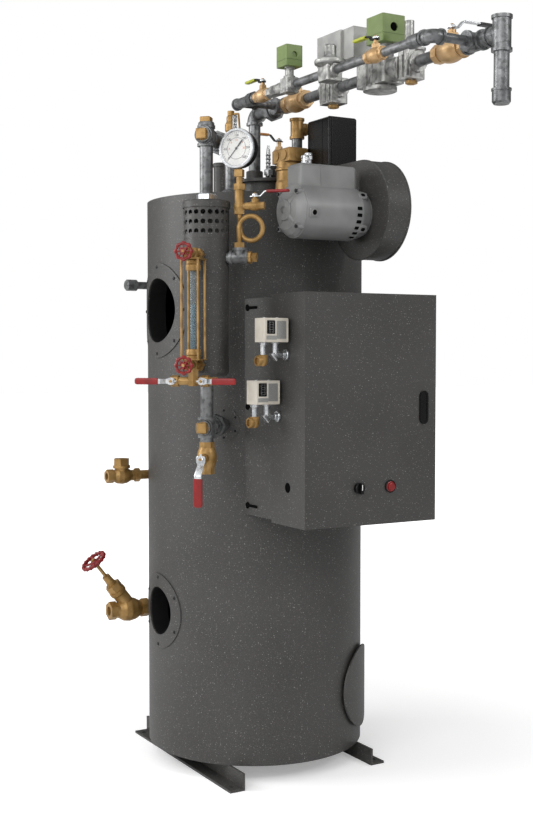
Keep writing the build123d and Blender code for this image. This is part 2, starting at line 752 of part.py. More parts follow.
def manifold(lower_valve):
    """The drain header under the glass, with a small cock each side."""
    height = column_base + LOWER_VALVE_RISE - MANIFOLD_DROP
    middle = spot(glass_out, 0, height)
    pieces = [
        rod(middle - ACROSS * MANIFOLD_LEFT, middle + ACROSS * MANIFOLD_RIGHT, MANIFOLD_RADIUS),
        prism(middle - UP * 12, middle + UP * (MANIFOLD_DROP - GAUGE_VALVE_RADIUS), MANIFOLD_RADIUS * 2.4),
    ]
    for across in (-DRAIN_COCK_LEFT, DRAIN_COCK_RIGHT):
        centre = middle + ACROSS * across
        pieces.append(prism(centre - ACROSS * 10, centre + ACROSS * 10, MANIFOLD_RADIUS * 2.6, 8))
        pieces.append(rod(centre, centre + OUT * DRAIN_STEM, MANIFOLD_RADIUS * 0.7))
    return join(pieces) - lower_valve


def siphon(start):
    """The pigtail: a tube that rises, makes one full coil and goes on up."""
    centre = start + UP * SIPHON_COIL_RISE
    shift = OUT * (SIPHON_PITCH / 2)
    place = Plane(origin=centre + ACROSS * SIPHON_LOOP + shift, x_dir=-ACROSS, z_dir=-OUT)
    coil = place * Helix(SIPHON_PITCH, SIPHON_PITCH, SIPHON_LOOP)
    tube = sweep(Plane(origin=coil @ 0, z_dir=coil % 0) * Circle(SIPHON_TUBE), path=coil, is_frenet=True)
    top = start + UP * SIPHON_RISE
    pieces = [
        prism(start, start + UP * SIPHON_NUT_LENGTH, SIPHON_NUT),
        rod(start + UP * SIPHON_TUBE, centre + shift, SIPHON_TUBE),
        Pos(*(centre + shift)) * Sphere(SIPHON_TUBE),
        tube,
        Pos(*(centre - shift)) * Sphere(SIPHON_TUBE),
        rod(centre - shift, top - UP * SIPHON_TUBE, SIPHON_TUBE),
        rod(top - UP * SIPHON_TUBE * 1.5, top, SIPHON_TUBE + 1),
    ]
    return join(pieces)


def test_cock(start):
    """The gauge's inspector cock: a turned body with a small ball valve on its side."""
    body = TEST_BODY_RADIUS
    outline = (
        (body, SIPHON_NUT_LENGTH / 2), (body * 1.2, TEST_BODY_LENGTH * 0.3), (body, TEST_BODY_LENGTH * 0.5),
        (body, TEST_BODY_LENGTH), (body * 0.7, TEST_BODY_LENGTH + 14), (body * 0.7, TEST_BODY_LENGTH + 34),
    )
    branch = start + UP * TEST_COCK_RISE
    valve_start = branch + ACROSS * TEST_COCK_START
    head = start + UP * TEST_BODY_LENGTH
    top = head + UP * TEST_HEAD_LENGTH
    return join([
        prism(start, start + UP * SIPHON_NUT_LENGTH, SIPHON_NUT),
        spun(start, UP, outline),
        prism(head, head + UP * 15, body * 2.3),
        prism(top - UP * 18, top, body * 1.7, 4),
        rod(branch, valve_start, body * 0.7),
        ball_cock(valve_start, valve_start + ACROSS * TEST_COCK_LENGTH, body, UP, TEST_STEM, body / 2),
    ])


def pressure_gauge(start):
    """A round case with a stepped bezel, a dished back and a dial recess under the bezel."""
    turn = math.radians(GAUGE_TURN)
    facing = Vector(-math.cos(turn), -math.sin(turn), 0)
    centre = start + UP * GAUGE_STEM
    case = GAUGE_RADIUS - 3
    front = GAUGE_DEPTH
    outline = (
        (case * 0.8, 0), (case, 5), (case, front - GAUGE_BEZEL), (GAUGE_RADIUS, front - GAUGE_BEZEL + 1),
        (GAUGE_RADIUS, front - 2), (GAUGE_RADIUS - 2, front),
    )
    body = spun(centre - facing * (GAUGE_DEPTH / 2), facing, outline)
    face = centre + facing * (GAUGE_DEPTH / 2)
    body = body - rod(face - facing * GAUGE_RECESS, face + facing, GAUGE_RADIUS - GAUGE_BEZEL * 0.8)
    return body + rod(start, start + UP * (GAUGE_STEM - case * 0.7), 7)


def burner_housing():
    centre = Vector(BURNER_X, BURNER_Y, top_z)
    flange = BURNER_RADIUS + BURNER_LIP
    foot_lip = BURNER_RADIUS + BURNER_FOOT_LIP
    lid_rise = BURNER_TALL + BURNER_FLANGE
    outline = (
        (foot_lip, 0), (foot_lip, 5), (BURNER_RADIUS, 6), (BURNER_RADIUS, BURNER_TALL),
        (flange, BURNER_TALL), (flange, lid_rise - 1), (flange - 1, lid_rise),
    )
    round_boss = (
        (BURNER_BOSS, 0), (BURNER_BOSS, BURNER_BOSS_TALL - 2), (BURNER_BOSS - 2, BURNER_BOSS_TALL),
    )
    sight_boss = ((PEEP_RADIUS - 3, 0), (PEEP_RADIUS - 3, 9), (PEEP_RADIUS, 10), (PEEP_RADIUS, PEEP_TALL))
    lid = centre + UP * lid_rise
    boss = Vector(0, 0, lid.Z)
    peep = lid + Vector(*PEEP_SHIFT, 0)
    body = spun(centre, UP, outline) + spun(boss, UP, round_boss) + spun(peep, UP, sight_boss)
    for turn in range(BURNER_BOLTS):
        angle = math.radians(360 * turn / BURNER_BOLTS)
        away = Vector(math.cos(angle), math.sin(angle), 0) * (flange - 8)
        body = body + prism(lid + away, lid + away + UP * 5, 11)
    return body


def electrode(start):
    """The igniter: a hexagon gland, a ribbed insulator and its terminal."""
    outline = [(8, 0), (8, 12), (11, 13), (11, 26)]
    for rib in range(4):
        outline += [(6, 32 + rib * 11), (8, 35 + rib * 11), (6, 38 + rib * 11)]
    outline += [(5, 84), (3, 96)]
    return spun(start, UP, outline) + prism(start + UP * 12, start + UP * 26, 24)


def cast_valve(start_y, length, width, low, high, neck=PIPE_RADIUS + 7):
    """A cast gas valve body: a ribbed block between two round necks, with a cover and a plug below."""
    end_y = start_y - length
    middle = Vector(0, (start_y + end_y) / 2, gas_z)
    inset = length * 0.12
    body = block((-width / 2, end_y + inset, gas_z + low), (width / 2, start_y - inset, gas_z + high), 6)
    lip = width / 2 + CAST_LIP
    top = gas_z + high
    cover = block(
        (-lip, end_y + inset - CAST_LIP, top - 7), (lip, start_y - inset + CAST_LIP, top - 1), 3 * CAST_LIP,
    )
    rib = block((1 - lip, middle.Y - CAST_LIP, gas_z + low + 4), (lip - 1, middle.Y + CAST_LIP, top - 2))
    necks = rod((0, start_y, gas_z), (0, end_y, gas_z), neck)
    drain = prism(middle + UP * (low - 8), middle + UP * low, 22)
    return join([body, cover, rib, necks, drain])


def main_valve():
    """The safety shut-off valve: a cast block with a round diaphragm body and its stem neck."""
    half = MAIN_VALVE_WIDTH / 2
    reach = main_valve_y - main_centre_y
    middle = Vector(0, main_centre_y, gas_z)
    outline = (
        (half - 6, -half - 2), (half - 1, -half), (half - 1, -half + 9), (half * 0.78, -half + 11),
        (half * 0.78, half - 16), (half * 0.88, half - 14), (half * 0.88, half - 4), (half * 0.55, half + 2),
    )
    base = Vector(0, green_box_y, gas_z)
    pieces = [
        spun(middle, UP, outline),
        block((-half * 0.76, middle.Y - reach, gas_z - 30), (half * 0.76, middle.Y + reach, gas_z + 30), 8),
        rod((0, main_valve_y, gas_z), (0, second_valve_y, gas_z), PIPE_RADIUS + 9),
        rod(base, base + UP * ACTUATOR_SEAT, 20),
    ]
    for turn in range(6):
        angle = math.radians(30 + 60 * turn)
        away = Vector(math.cos(angle), math.sin(angle), 0) * (half - 7)
        pieces.append(rod(middle + away - UP * half, middle + away - UP * (half - 15), 5))
    return join(pieces)


def valve_actuator():
    """The damper motor on the first valve: a box with one half-round end."""
    middle_y = first_valve_y - FIRST_VALVE_LENGTH / 2
    back_y = middle_y + ACTUATOR_OVERHANG
    low = (-ACTUATOR_WIDTH * 0.42, back_y - ACTUATOR_LENGTH, gas_z + ACTUATOR_RISE)
    high = (ACTUATOR_WIDTH * 0.58, back_y, gas_z + ACTUATOR_RISE + ACTUATOR_TALL)
    body = block(low, high)
    body = fillet(body.edges().filter_by(Axis.Y).sort_by(Axis.X)[-2:], ACTUATOR_TALL * 0.42)
    wedge = block(low, (low[0] + 8, back_y - ACTUATOR_LENGTH * 0.7, high[2]))
    return body - wedge


def green_box(centre, wide, long, tall):
    """A coil cover with rounded corners, a seam and a cable entry on its front."""
    low = centre - Vector(wide / 2, long / 2, 0)
    body = block(low, low + Vector(wide, long, tall), 4)
    seam = low + UP * (tall * SEAM_RISE)
    out = Vector(SEAM_DEPTH, SEAM_DEPTH, 0)
    size = Vector(wide, long, SEAM_WIDTH)
    body = body - (block(seam - out, seam + size + out) - block(seam + out, seam + size - out))
    entry = centre + UP * (tall * 0.55) - Vector(0, long / 2, 0)
    return body - rod(entry + FRONT, entry + BACK * 5, wide * 0.16)


def pilot_valve():
    """A small solenoid valve between its two unions."""
    start = Vector(pilot_x, adapter_y, gas_z)
    half = PILOT_VALVE_WIDTH / 2
    valve = Vector(pilot_x, pilot_valve_y, gas_z)
    middle = valve + FRONT * (PILOT_VALVE_LENGTH * 0.58)
    seat = middle + UP * (half + PILOT_BONNET)
    bonnet = ((15, 0), (15, 6), (11, 8), (11, PILOT_BONNET - 4), (14, PILOT_BONNET - 3), (14, PILOT_BONNET))
    return join([
        prism(start, start + FRONT * (PILOT_ADAPTER * 0.45), half * 1.45),
        prism(start + FRONT * (PILOT_ADAPTER * 0.45), valve, half * 1.7, 8),
        rod(valve, valve + FRONT * PILOT_VALVE_LENGTH, half * 0.9),
        block(middle - Vector(half, half, half), middle + Vector(half, half, half), 4),
        spun(middle + UP * half, UP, bonnet),
    ]), seat


def regulator():
    """The pilot regulator: a valve body under a ribbed diaphragm disc and its spring tower."""
    start = Vector(pilot_x, regulator_y, gas_z)
    middle = start + FRONT * (REGULATOR_LENGTH / 2)
    big = REGULATOR_RADIUS
    outline = (
        (big * 0.6, 8), (big, 16), (big + 1, 19), (big + 1, 23), (big, 26), (big * 0.45, 34),
        (15, 38), (15, 60), (12, 63),
    )
    return join([
        rod(start, start + FRONT * REGULATOR_LENGTH, 16),
        block(middle - Vector(22, 22, 24), middle + Vector(22, 22, 14), 5),
        spun(middle, UP, outline),
    ])


def steam_fitting():
    """A ringed round base under a chamfered brass block with round bosses on its faces."""
    base = Vector(STEAM_X, STEAM_Y, top_z)
    big = STEAM_RADIUS
    outline = (
        (big + 3, 0), (big + 3, 44), (big, 51), (big, 76), (big + 4, 78), (big + 4, 83), (big, 85),
        (big, STEAM_TALL),
    )
    low = base + Vector(-STEAM_HEAD_WIDTH / 2, -STEAM_HEAD_LENGTH / 2, STEAM_TALL)
    high = low + Vector(STEAM_HEAD_WIDTH, STEAM_HEAD_LENGTH, STEAM_HEAD_TALL)
    head = chamfer(block(low, high, 5).faces().sort_by(Axis.Z)[-1].edges(), 3)
    middle = (low + high) / 2
    boss = STEAM_HEAD_TALL * 0.36
    for across in (-0.22, 0.22):
        place = Vector(low.X, middle.Y + STEAM_HEAD_LENGTH * across, middle.Z)
        head = head + rod(place + LEFT * 2, place + RIGHT * 4, boss)
    front = Vector(middle.X, low.Y, middle.Z)
    return spun(base, UP, outline) + head + rod(front + FRONT * 2, front + BACK * 4, boss)


def steam_tee():
    start = Vector(STEAM_X + STEAM_TEE_SHIFT, STEAM_Y - 8, top_z + STEAM_TALL + STEAM_HEAD_TALL)
    centre = start + UP * (STEAM_PIPE_TALL + STEAM_TEE_REACH)
    pipe = rod(start, start + UP * (STEAM_PIPE_TALL + 2), STEAM_PIPE)
    return pipe + junction(centre, (UP, DOWN, Vector(1, 1, 0)), STEAM_PIPE + 4, STEAM_TEE_REACH)


def top_cock():
    start = Vector(BURNER_X, BURNER_Y, burner_lid_z) + Vector(*TOP_COCK_SHIFT, 0)
    valve = start + UP * TOP_COCK_START
    tip = start + UP * TOP_COCK_TALL
    outline = ((14, 8), (17, 16), (17, 30), (13, 42), (10, 50))
    body = join([
        prism(start, start + UP * 12, 30),
        rod(start, tip, 7),
        rod(start, valve, TOP_COCK_PIPE),
        prism(valve, valve + UP * 14, 30, 8),
        spun(valve, UP, outline),
    ])
    return body, tip


def safety_valve():
    """The relief valve: a hexagon base, a bell and its lifting lever."""
    start = spot(riser_out, 0, upper_z + FITTING_REACH)
    outline = ((13, 12), (13, 20), (16, 24), (16, 40), (12, 48), (12, 60), (9, 64), (9, SAFETY_TALL))
    body = prism(start, start + UP * 12, 30) + spun(start, UP, outline)
    hub = start + UP * (SAFETY_TALL - 8)
    place = Plane(origin=hub, x_dir=ACROSS, z_dir=OUT)
    strip = Polyline((9.2, 2), (22, 2), (26, -44), (23, -44), (19.5, -2), (9.2, -2), close=True)
    return body, extrude(place * make_face(strip), 5, both=True)


def blower_housing():
    """A flat scroll with rolled rims, its duct to the burner, and an air plate on the open side."""
    centre = Vector(FAN_SIDE, fan_y, fan_z)
    far_rim = FAN_WIDTH - FAN_RIM
    outline = (
        (FAN_RADIUS - 3, 0), (FAN_RADIUS, 1), (FAN_RADIUS, FAN_RIM), (FAN_RADIUS - 2, FAN_RIM + 1),
        (FAN_RADIUS - 2, far_rim - 1), (FAN_RADIUS, far_rim), (FAN_RADIUS, FAN_WIDTH - 1),
        (FAN_RADIUS - 3, FAN_WIDTH),
    )
    scroll = spun(centre, RIGHT, outline)
    duct_low = (FAN_SIDE, fan_y, top_z + DUCT_CLEARANCE)
    duct = block(duct_low, (FAN_SIDE + FAN_WIDTH, BURNER_Y, fan_z + FAN_RADIUS))
    side = centre + RIGHT * FAN_WIDTH
    plate = rod(side, side + RIGHT * AIR_PLATE_STEEL, AIR_PLATE_RADIUS)
    for turn in range(AIR_SLOTS):
        place = Plane(origin=side, x_dir=(0, 1, 0), z_dir=(1, 0, 0)).rotated((0, 0, turn * 360 / AIR_SLOTS))
        slot = Pos(AIR_PLATE_RADIUS * 0.62, 0) * SlotOverall(AIR_PLATE_RADIUS * 0.55, AIR_PLATE_RADIUS * 0.25)
        plate = plate - extrude(place * slot, AIR_PLATE_STEEL * 2)
    bolt = prism(side, side + RIGHT * (AIR_PLATE_STEEL + 6), 14)
    return join([scroll, duct, plate, bolt])


def motor():
    """A foot-less motor: ribbed end bells, a rolled body and through-bolt ears."""
    end = Vector(FAN_SIDE, fan_y, fan_z - MOTOR_DROP)
    start = end + LEFT * MOTOR_LENGTH
    big = MOTOR_RADIUS
    far = MOTOR_LENGTH - MOTOR_FLANGE
    shell_end = far - END_BELL
    outline = (
        (20, -3), (24, 0), (big * 0.7, 3), (big * 0.88, END_BELL * 0.5), (big - 2, END_BELL - 3),
        (big - 2, END_BELL), (big, END_BELL + 1), (big, shell_end), (big - 2, shell_end + 1),
        (big - 3, shell_end + 4), (big * 0.88, far), (MOTOR_FLANGE_RADIUS, far + 1),
        (MOTOR_FLANGE_RADIUS, MOTOR_LENGTH),
    )
    body = spun(start, RIGHT, outline)
    for turn in range(MOTOR_EARS):
        angle = math.radians(45 + 360 * turn / MOTOR_EARS)
        away = Vector(0, math.cos(angle), math.sin(angle)) * (big - MOTOR_EAR)
        for low, high in ((END_BELL * 0.3, END_BELL + 4), (shell_end - 4, far - 3)):
            body = body + rod(start + away + RIGHT * low, start + away + RIGHT * high, MOTOR_EAR)
    return body


def motor_box(body):
    """The terminal box on the motor's back, with a sloped lid."""
    left = FAN_SIDE - MOTOR_LENGTH + MOTOR_BOX_START
    low = Vector(left, fan_y - MOTOR_BOX_WIDTH / 2, fan_z - MOTOR_DROP + MOTOR_BOX_SEAT)
    box = block(low, low + Vector(MOTOR_BOX_LENGTH, MOTOR_BOX_WIDTH, MOTOR_BOX_TALL), 10)
    box = chamfer(box.faces().sort_by(Axis.Z)[-1].edges(), 6)
    return box - body


def ignition_box():
    """The ignition transformer's case, standing on the duct."""
    middle = FAN_SIDE + FAN_WIDTH / 2
    front_y = BURNER_Y - IGNITION_BACK - IGNITION_LENGTH
    low = Vector(middle - IGNITION_WIDTH / 2, front_y, fan_z + FAN_RADIUS)
    body = block(low, low + Vector(IGNITION_WIDTH, IGNITION_LENGTH, IGNITION_TALL), IGNITION_CORNER)
    body = fillet(body.faces().sort_by(Axis.Z)[-1].edges(), IGNITION_CORNER - 2)
    seam_y = front_y + IGNITION_LENGTH * 0.3
    seam_top = low.Z + IGNITION_TALL - IGNITION_CORNER
    return body - block((low.X - 1, seam_y, low.Z + 4), (low.X + 1, seam_y + 2, seam_top))


def side_point(reach, height):
    """A point out from the shell's left side, in line with the side fittings."""
    return Vector(-SHELL_RADIUS - reach, SIDE_Y, height)


def capped_stub():
    tip = side_point(STUB_REACH, top_z - STUB_DROP)
    body = rod(tip - LEFT * 80, tip, SMALL_PIPE_RADIUS)
    outline = ((STUB_CAP_RADIUS, 0), (STUB_CAP_RADIUS, STUB_CAP - 4), (STUB_CAP_RADIUS - 4, STUB_CAP))
    return body + spun(tip - LEFT * STUB_CAP, LEFT, outline)


def feed_valve():
    """A bronze check valve: hexagon ends, a swelled body and a screwed cap."""
    tip = side_point(FEED_REACH, FEED_HEIGHT)
    big = FEED_RADIUS
    length = 100
    neck = FEED_BONNET * 0.8
    outline = (
        (big * 0.8, 8), (big * 0.8, 20), (big * 1.15, 32), (big * 1.25, 46), (big * 1.15, 60),
        (big * 0.8, 74), (big * 0.8, 92),
    )
    middle = tip + RIGHT * 46
    body = join([
        rod(tip + RIGHT * length, tip + RIGHT * (length + 46), 13),
        prism(tip, tip + RIGHT * 20, 34),
        prism(tip + RIGHT * (length - 14), tip + RIGHT * length, 34),
        spun(tip, RIGHT, outline),
        spun(middle, UP, ((neck, -10), (neck, 20), (FEED_BONNET, 22), (FEED_BONNET, 29))),
        prism(middle + UP * 29, middle + UP * 49, 40),
    ])
    return body - rod(tip, tip + RIGHT * SIDE_BORE_DEPTH, FEED_BORE)


def blowdown_valve():
    """A Y-pattern bronze valve: a leaning bonnet off a swelled body between hexagon ends."""
    tip = side_point(BLOW_REACH, BLOW_HEIGHT)
    big = BLOW_RADIUS
    outline = (
        (big * 0.62, 16), (big * 0.66, 28), (big * 0.94, 44), (big, 60), (big * 0.9, 78),
        (big * 0.62, 96), (big * 0.6, 102),
    )
    inner = tip + RIGHT * 119
    bonnet = ((21, 20), (21, 60), (24, 64), (24, 74))
    gland = ((14, BONNET_LENGTH - 2), (12, BONNET_LENGTH + 14), (11, BONNET_LENGTH + BONNET_STEM))
    body = join([
        rod(tip + RIGHT * 60, inner + RIGHT * 20, 17),
        prism(tip, tip + RIGHT * 20, 46),
        prism(tip + RIGHT * 98, inner, 46),
        spun(tip, RIGHT, outline),
        spun(bonnet_root, bonnet_axis, bonnet),
        prism(bonnet_root + bonnet_axis * 74, bonnet_root + bonnet_axis * BONNET_LENGTH, 40),
        spun(bonnet_root, bonnet_axis, gland),
    ])
    return body - rod(tip, tip + RIGHT * SIDE_BORE_DEPTH, BLOW_BORE)


def pilot_run():
    """The pilot line's own pipes: tee and union, two straight runs and the far elbow."""
    tee = Vector(pilot_x, first_tee_y, gas_z)
    union_start = tee + FRONT * PILOT_REACH
    near = join([
        junction(tee, (FRONT, BACK, RIGHT), PILOT_FITTING, PILOT_REACH),
        rod(tee, (-FITTING_REACH, first_tee_y, gas_z), SMALL_PIPE_RADIUS),
        union(union_start, FRONT, PILOT_UNION, 36),
    ])
    middle = rod((pilot_x, pilot_pipe_y, gas_z), (pilot_x, regulator_y, gas_z), SMALL_PIPE_RADIUS)
    far = rod((pilot_x, pilot_second_y, gas_z), (pilot_x, second_pilot_y, gas_z), SMALL_PIPE_RADIUS)
    corner = Vector(pilot_x, inlet_tee_y, gas_z)
    start = Vector(pilot_x, second_pilot_y - PILOT_COCK_LENGTH, gas_z)
    last = join([
        rod(start, corner + BACK * (PILOT_REACH - 12), SMALL_PIPE_RADIUS),
        rod(start + FRONT * 98, start + FRONT * 136, SMALL_PIPE_RADIUS + 4.5),
        elbow(corner, BACK, RIGHT, PILOT_FITTING + 1, PILOT_REACH - 10),
        rod(corner + RIGHT * (PILOT_REACH - 12), (-INLET_REACH, inlet_tee_y, gas_z), SMALL_PIPE_RADIUS),
    ])
    return [near, middle, far, last]


def inlet_tee():
    first = Vector(0, inlet_tee_y, gas_z)
    second = Vector(0, drip_y, gas_z)
    foot_end = second - UP * (DRIP_REACH + DRIP_LEG)
    bead = FITTING_RADIUS + 1.5
    cap = (
        (FITTING_RADIUS - 4, 0), (FITTING_RADIUS, 5), (FITTING_RADIUS, DRIP_CAP - 6),
        (bead, DRIP_CAP - 5), (bead, DRIP_CAP),
    )
    body = join([
        junction(first, (FRONT, BACK, LEFT), FITTING_RADIUS, INLET_REACH),
        rod(first, second, PIPE_RADIUS),
        junction(second, (UP, DOWN, BACK), FITTING_RADIUS, DRIP_REACH),
        rod(second, foot_end, PIPE_RADIUS),
        spun(foot_end, UP, cap),
    ])
    mouth = second + UP * DRIP_REACH
    return body - rod(mouth - UP * INLET_BORE_DEPTH, mouth, INLET_BORE)


def shell_pieces():
    """Feet, end plates, jacket, vessel, the rings round the openings and the round cover."""
    turn = math.radians(COVER_TURN)
    cover_side = Vector(math.sin(turn), -math.cos(turn), 0)
    low = UP * (base_z + END_PLATE)
    high = UP * (top_z - END_PLATE)
    vessel = SHELL_RADIUS - JACKET - FLUE_GAP
    outside = SHELL_RADIUS + COVER_STANDOFF
    cover = shell_plate(SHELL_RADIUS, COVER_STANDOFF, cover_side, COVER_HEIGHT, COVER_BOSS)
    lid = shell_plate(outside, COVER_STEEL, cover_side, COVER_HEIGHT, COVER_RADIUS)
    ring = COLUMN_RING
    flue_rim = FLUE_RADIUS + FLUE_RIM
    cleanout_rim = CLEANOUT_RADIUS + CLEANOUT_RIM
    parts["feet"] = [foot(-1), foot(1)]
    parts["base_plate"] = [rod(UP * base_z, low, SHELL_RADIUS)]
    parts["top_plate"] = [rod(high, UP * top_z, SHELL_RADIUS)]
    parts["outer_casing"] = [casing()]
    parts["pressure_vessel"] = [rod(low, high, vessel)]
    parts["shell_rings"] = [
        shell_plate(SHELL_RADIUS, RING_STEEL, LEFT, top_z - FLUE_DROP, flue_rim, FLUE_RADIUS),
        shell_plate(SHELL_RADIUS, RING_STEEL, LEFT, CLEANOUT_HEIGHT, cleanout_rim, CLEANOUT_RADIUS),
        shell_plate(SHELL_RADIUS, ring[1], OUT, lower_z, ring[0], PIPE_RADIUS),
    ]
    parts["handhole_cover"] = [cover + lid]


def cabinet_pieces():
    """The cabinet on its bracket, its door with what is on it, and the two pressure controls."""
    handle_place = (cabinet_right - HANDLE_FROM_EDGE, door_y, HANDLE_HEIGHT)
    handle = Plane(origin=handle_place, x_dir=(0, 0, 1), z_dir=(0, -1, 0))
    knob = Vector(CABINET_SHIFT + KNOB_SHIFT, door_y, PANEL_HEIGHT)
    lamp = Vector(CABINET_SHIFT + LAMP_SHIFT, door_y, PANEL_HEIGHT)
    pull = extrude(handle * SlotOverall(HANDLE_LENGTH, HANDLE_WIDTH), HANDLE_STEEL)
    hollow = SlotOverall(HANDLE_LENGTH - 2 * HANDLE_RIM, HANDLE_WIDTH - 2 * HANDLE_RIM)
    recess = extrude(handle * Pos(0, 0, HANDLE_STEEL - 1) * hollow, 2)
    grip = Plane(origin=knob, x_dir=(1, 0, 0), z_dir=(0, -1, 0)) * Pos(0, 0, KNOB_LENGTH / 2)
    bar = grip * Box(KNOB_RADIUS * 0.6, KNOB_RADIUS * 1.9, KNOB_LENGTH)
    base = ((KNOB_RADIUS, 0), (KNOB_RADIUS, KNOB_LENGTH * 0.5), (KNOB_RADIUS - 1.5, KNOB_LENGTH * 0.6))
    button = (
        (LAMP_RADIUS, 0), (LAMP_RADIUS, LAMP_LENGTH * 0.4), (LAMP_RADIUS - 2, LAMP_LENGTH * 0.5),
        (LAMP_RADIUS - 3, LAMP_LENGTH * 0.9), (LAMP_RADIUS - 5, LAMP_LENGTH),
    )
    forward = (CONTROL_UPPER_FORWARD, CONTROL_LOWER_FORWARD)
    floors = (CONTROL_UPPER, CONTROL_LOWER)
    fittings = []
    for ahead, floor in zip(forward, floors):
        fittings += control_fittings(ahead, floor)
    parts["cabinet_bracket"] = [bracket()]
    parts["control_cabinet"] = [cabinet()]
    parts["cabinet_door"] = [door()]
    parts["door_handle"] = [pull - recess]
    parts["selector_knob"] = [spun(knob, FRONT, base) + bar]
    parts["reset_lamp"] = [spun(lamp, FRONT, button)]
    parts["pressure_controls"] = [pressure_control(ahead, floor) for ahead, floor in zip(forward, floors)]
    parts["control_fittings"] = fittings


def column_pieces():
    """The water column, its cross pipes and plugs, the gauge glass, the drains and the gauge."""
    base = spot(column_out, 0, column_base)
    chamfered = COLUMN_RADIUS - COLUMN_CHAMFER
    outline = ((chamfered, 0), (COLUMN_RADIUS, COLUMN_CHAMFER), (COLUMN_RADIUS, COLUMN_LENGTH))
    column = spun(base, UP, outline)
    upper_height = column_base + UPPER_VALVE_RISE
    lower_height = column_base + LOWER_VALVE_RISE
    glass_low = lower_height + LOWER_SEAT
    glass_high = upper_height - UPPER_SEAT
    valves = [gauge_valve(upper_height, glass_high), gauge_valve(lower_height, glass_low)]
    tee_height = column_base + GAUGE_TEE_RISE
    tee = spot(column_out, GAUGE_TEE_ACROSS, tee_height)
    tee_body = junction(tee, (-ACROSS, ACROSS, UP), GAUGE_TEE_RADIUS, GAUGE_TEE_REACH)
    tee_body = tee_body + rod(spot(column_out, 0, tee_height), tee, PIPE_RADIUS - 3)
    siphon_start = tee + UP * GAUGE_TEE_REACH
    test_start = siphon_start + UP * SIPHON_RISE
    gauge_start = test_start + UP * (TEST_BODY_LENGTH + TEST_HEAD_LENGTH)
    test_valve = test_start + UP * TEST_COCK_RISE + ACROSS * (TEST_COCK_START + TEST_COCK_LENGTH / 2)
    cock_start = lower_z - FITTING_REACH - BLOWDOWN_COCK_GAP
    cock_end = spot(column_out, 0, cock_start - BLOWDOWN_COCK_LENGTH)
    cock = ball_cock(spot(column_out, 0, cock_start), cock_end, BLOWDOWN_COCK_RADIUS, OUT, BLOWDOWN_STEM, 8)
    manifold_height = lower_height - MANIFOLD_DROP
    drain_out = glass_out + DRAIN_STEM
    fence = guard()
    for valve in valves:
        fence = fence - valve
    parts["water_column"] = [column]
    parts["probe_cover"] = [probe_cover()]
    parts["column_pipes"] = [upper_pipes(), lower_pipes()]
    parts["brass_plugs"] = [
        plug(spot(column_out, 0, upper_z + FITTING_REACH), UP),
        plug(spot(column_out + FITTING_REACH, 0, upper_z), OUT),
        plug(spot(column_out + FITTING_REACH, 0, lower_z), OUT),
        plug(tee + ACROSS * GAUGE_TEE_REACH, ACROSS, GAUGE_TEE_RADIUS * 1.8, 16),
    ]
    parts["column_blowdown_cock"] = [cock - rod(cock_end, cock_end + UP * DRAIN_BORE_DEPTH, DRAIN_BORE)]
    blowdown_hub = spot(column_out + BLOWDOWN_STEM, 0, cock_start - BLOWDOWN_COCK_LENGTH / 2)
    parts["column_blowdown_lever"] = [lever(blowdown_hub, OUT, DOWN, COLUMN_LEVER)]
    parts["gauge_valves"] = valves + [manifold(valves[1])]
    parts["gauge_glass"] = [rod(spot(glass_out, 0, glass_low), spot(glass_out, 0, glass_high), GLASS_RADIUS)]
    parts["guard_rods"] = [fence]
    parts["upper_gauge_wheel"] = [gauge_wheel(upper_height)]
    parts["lower_gauge_wheel"] = [gauge_wheel(lower_height)]
    left_hub = spot(drain_out, -DRAIN_COCK_LEFT, manifold_height)
    right_hub = spot(drain_out, DRAIN_COCK_RIGHT, manifold_height)
    parts["left_drain_lever"] = [lever(left_hub, OUT, -ACROSS, DRAIN_LEVER)]
    parts["right_drain_lever"] = [lever(right_hub, OUT, ACROSS, DRAIN_LEVER)]
    parts["gauge_tee"] = [tee_body - column]
    parts["siphon"] = [siphon(siphon_start)]
    parts["test_cock"] = [test_cock(test_start)]
    parts["test_lever"] = [lever(test_valve + UP * TEST_STEM, UP, ACROSS, TEST_LEVER)]
    parts["pressure_gauge"] = [pressure_gauge(gauge_start)]


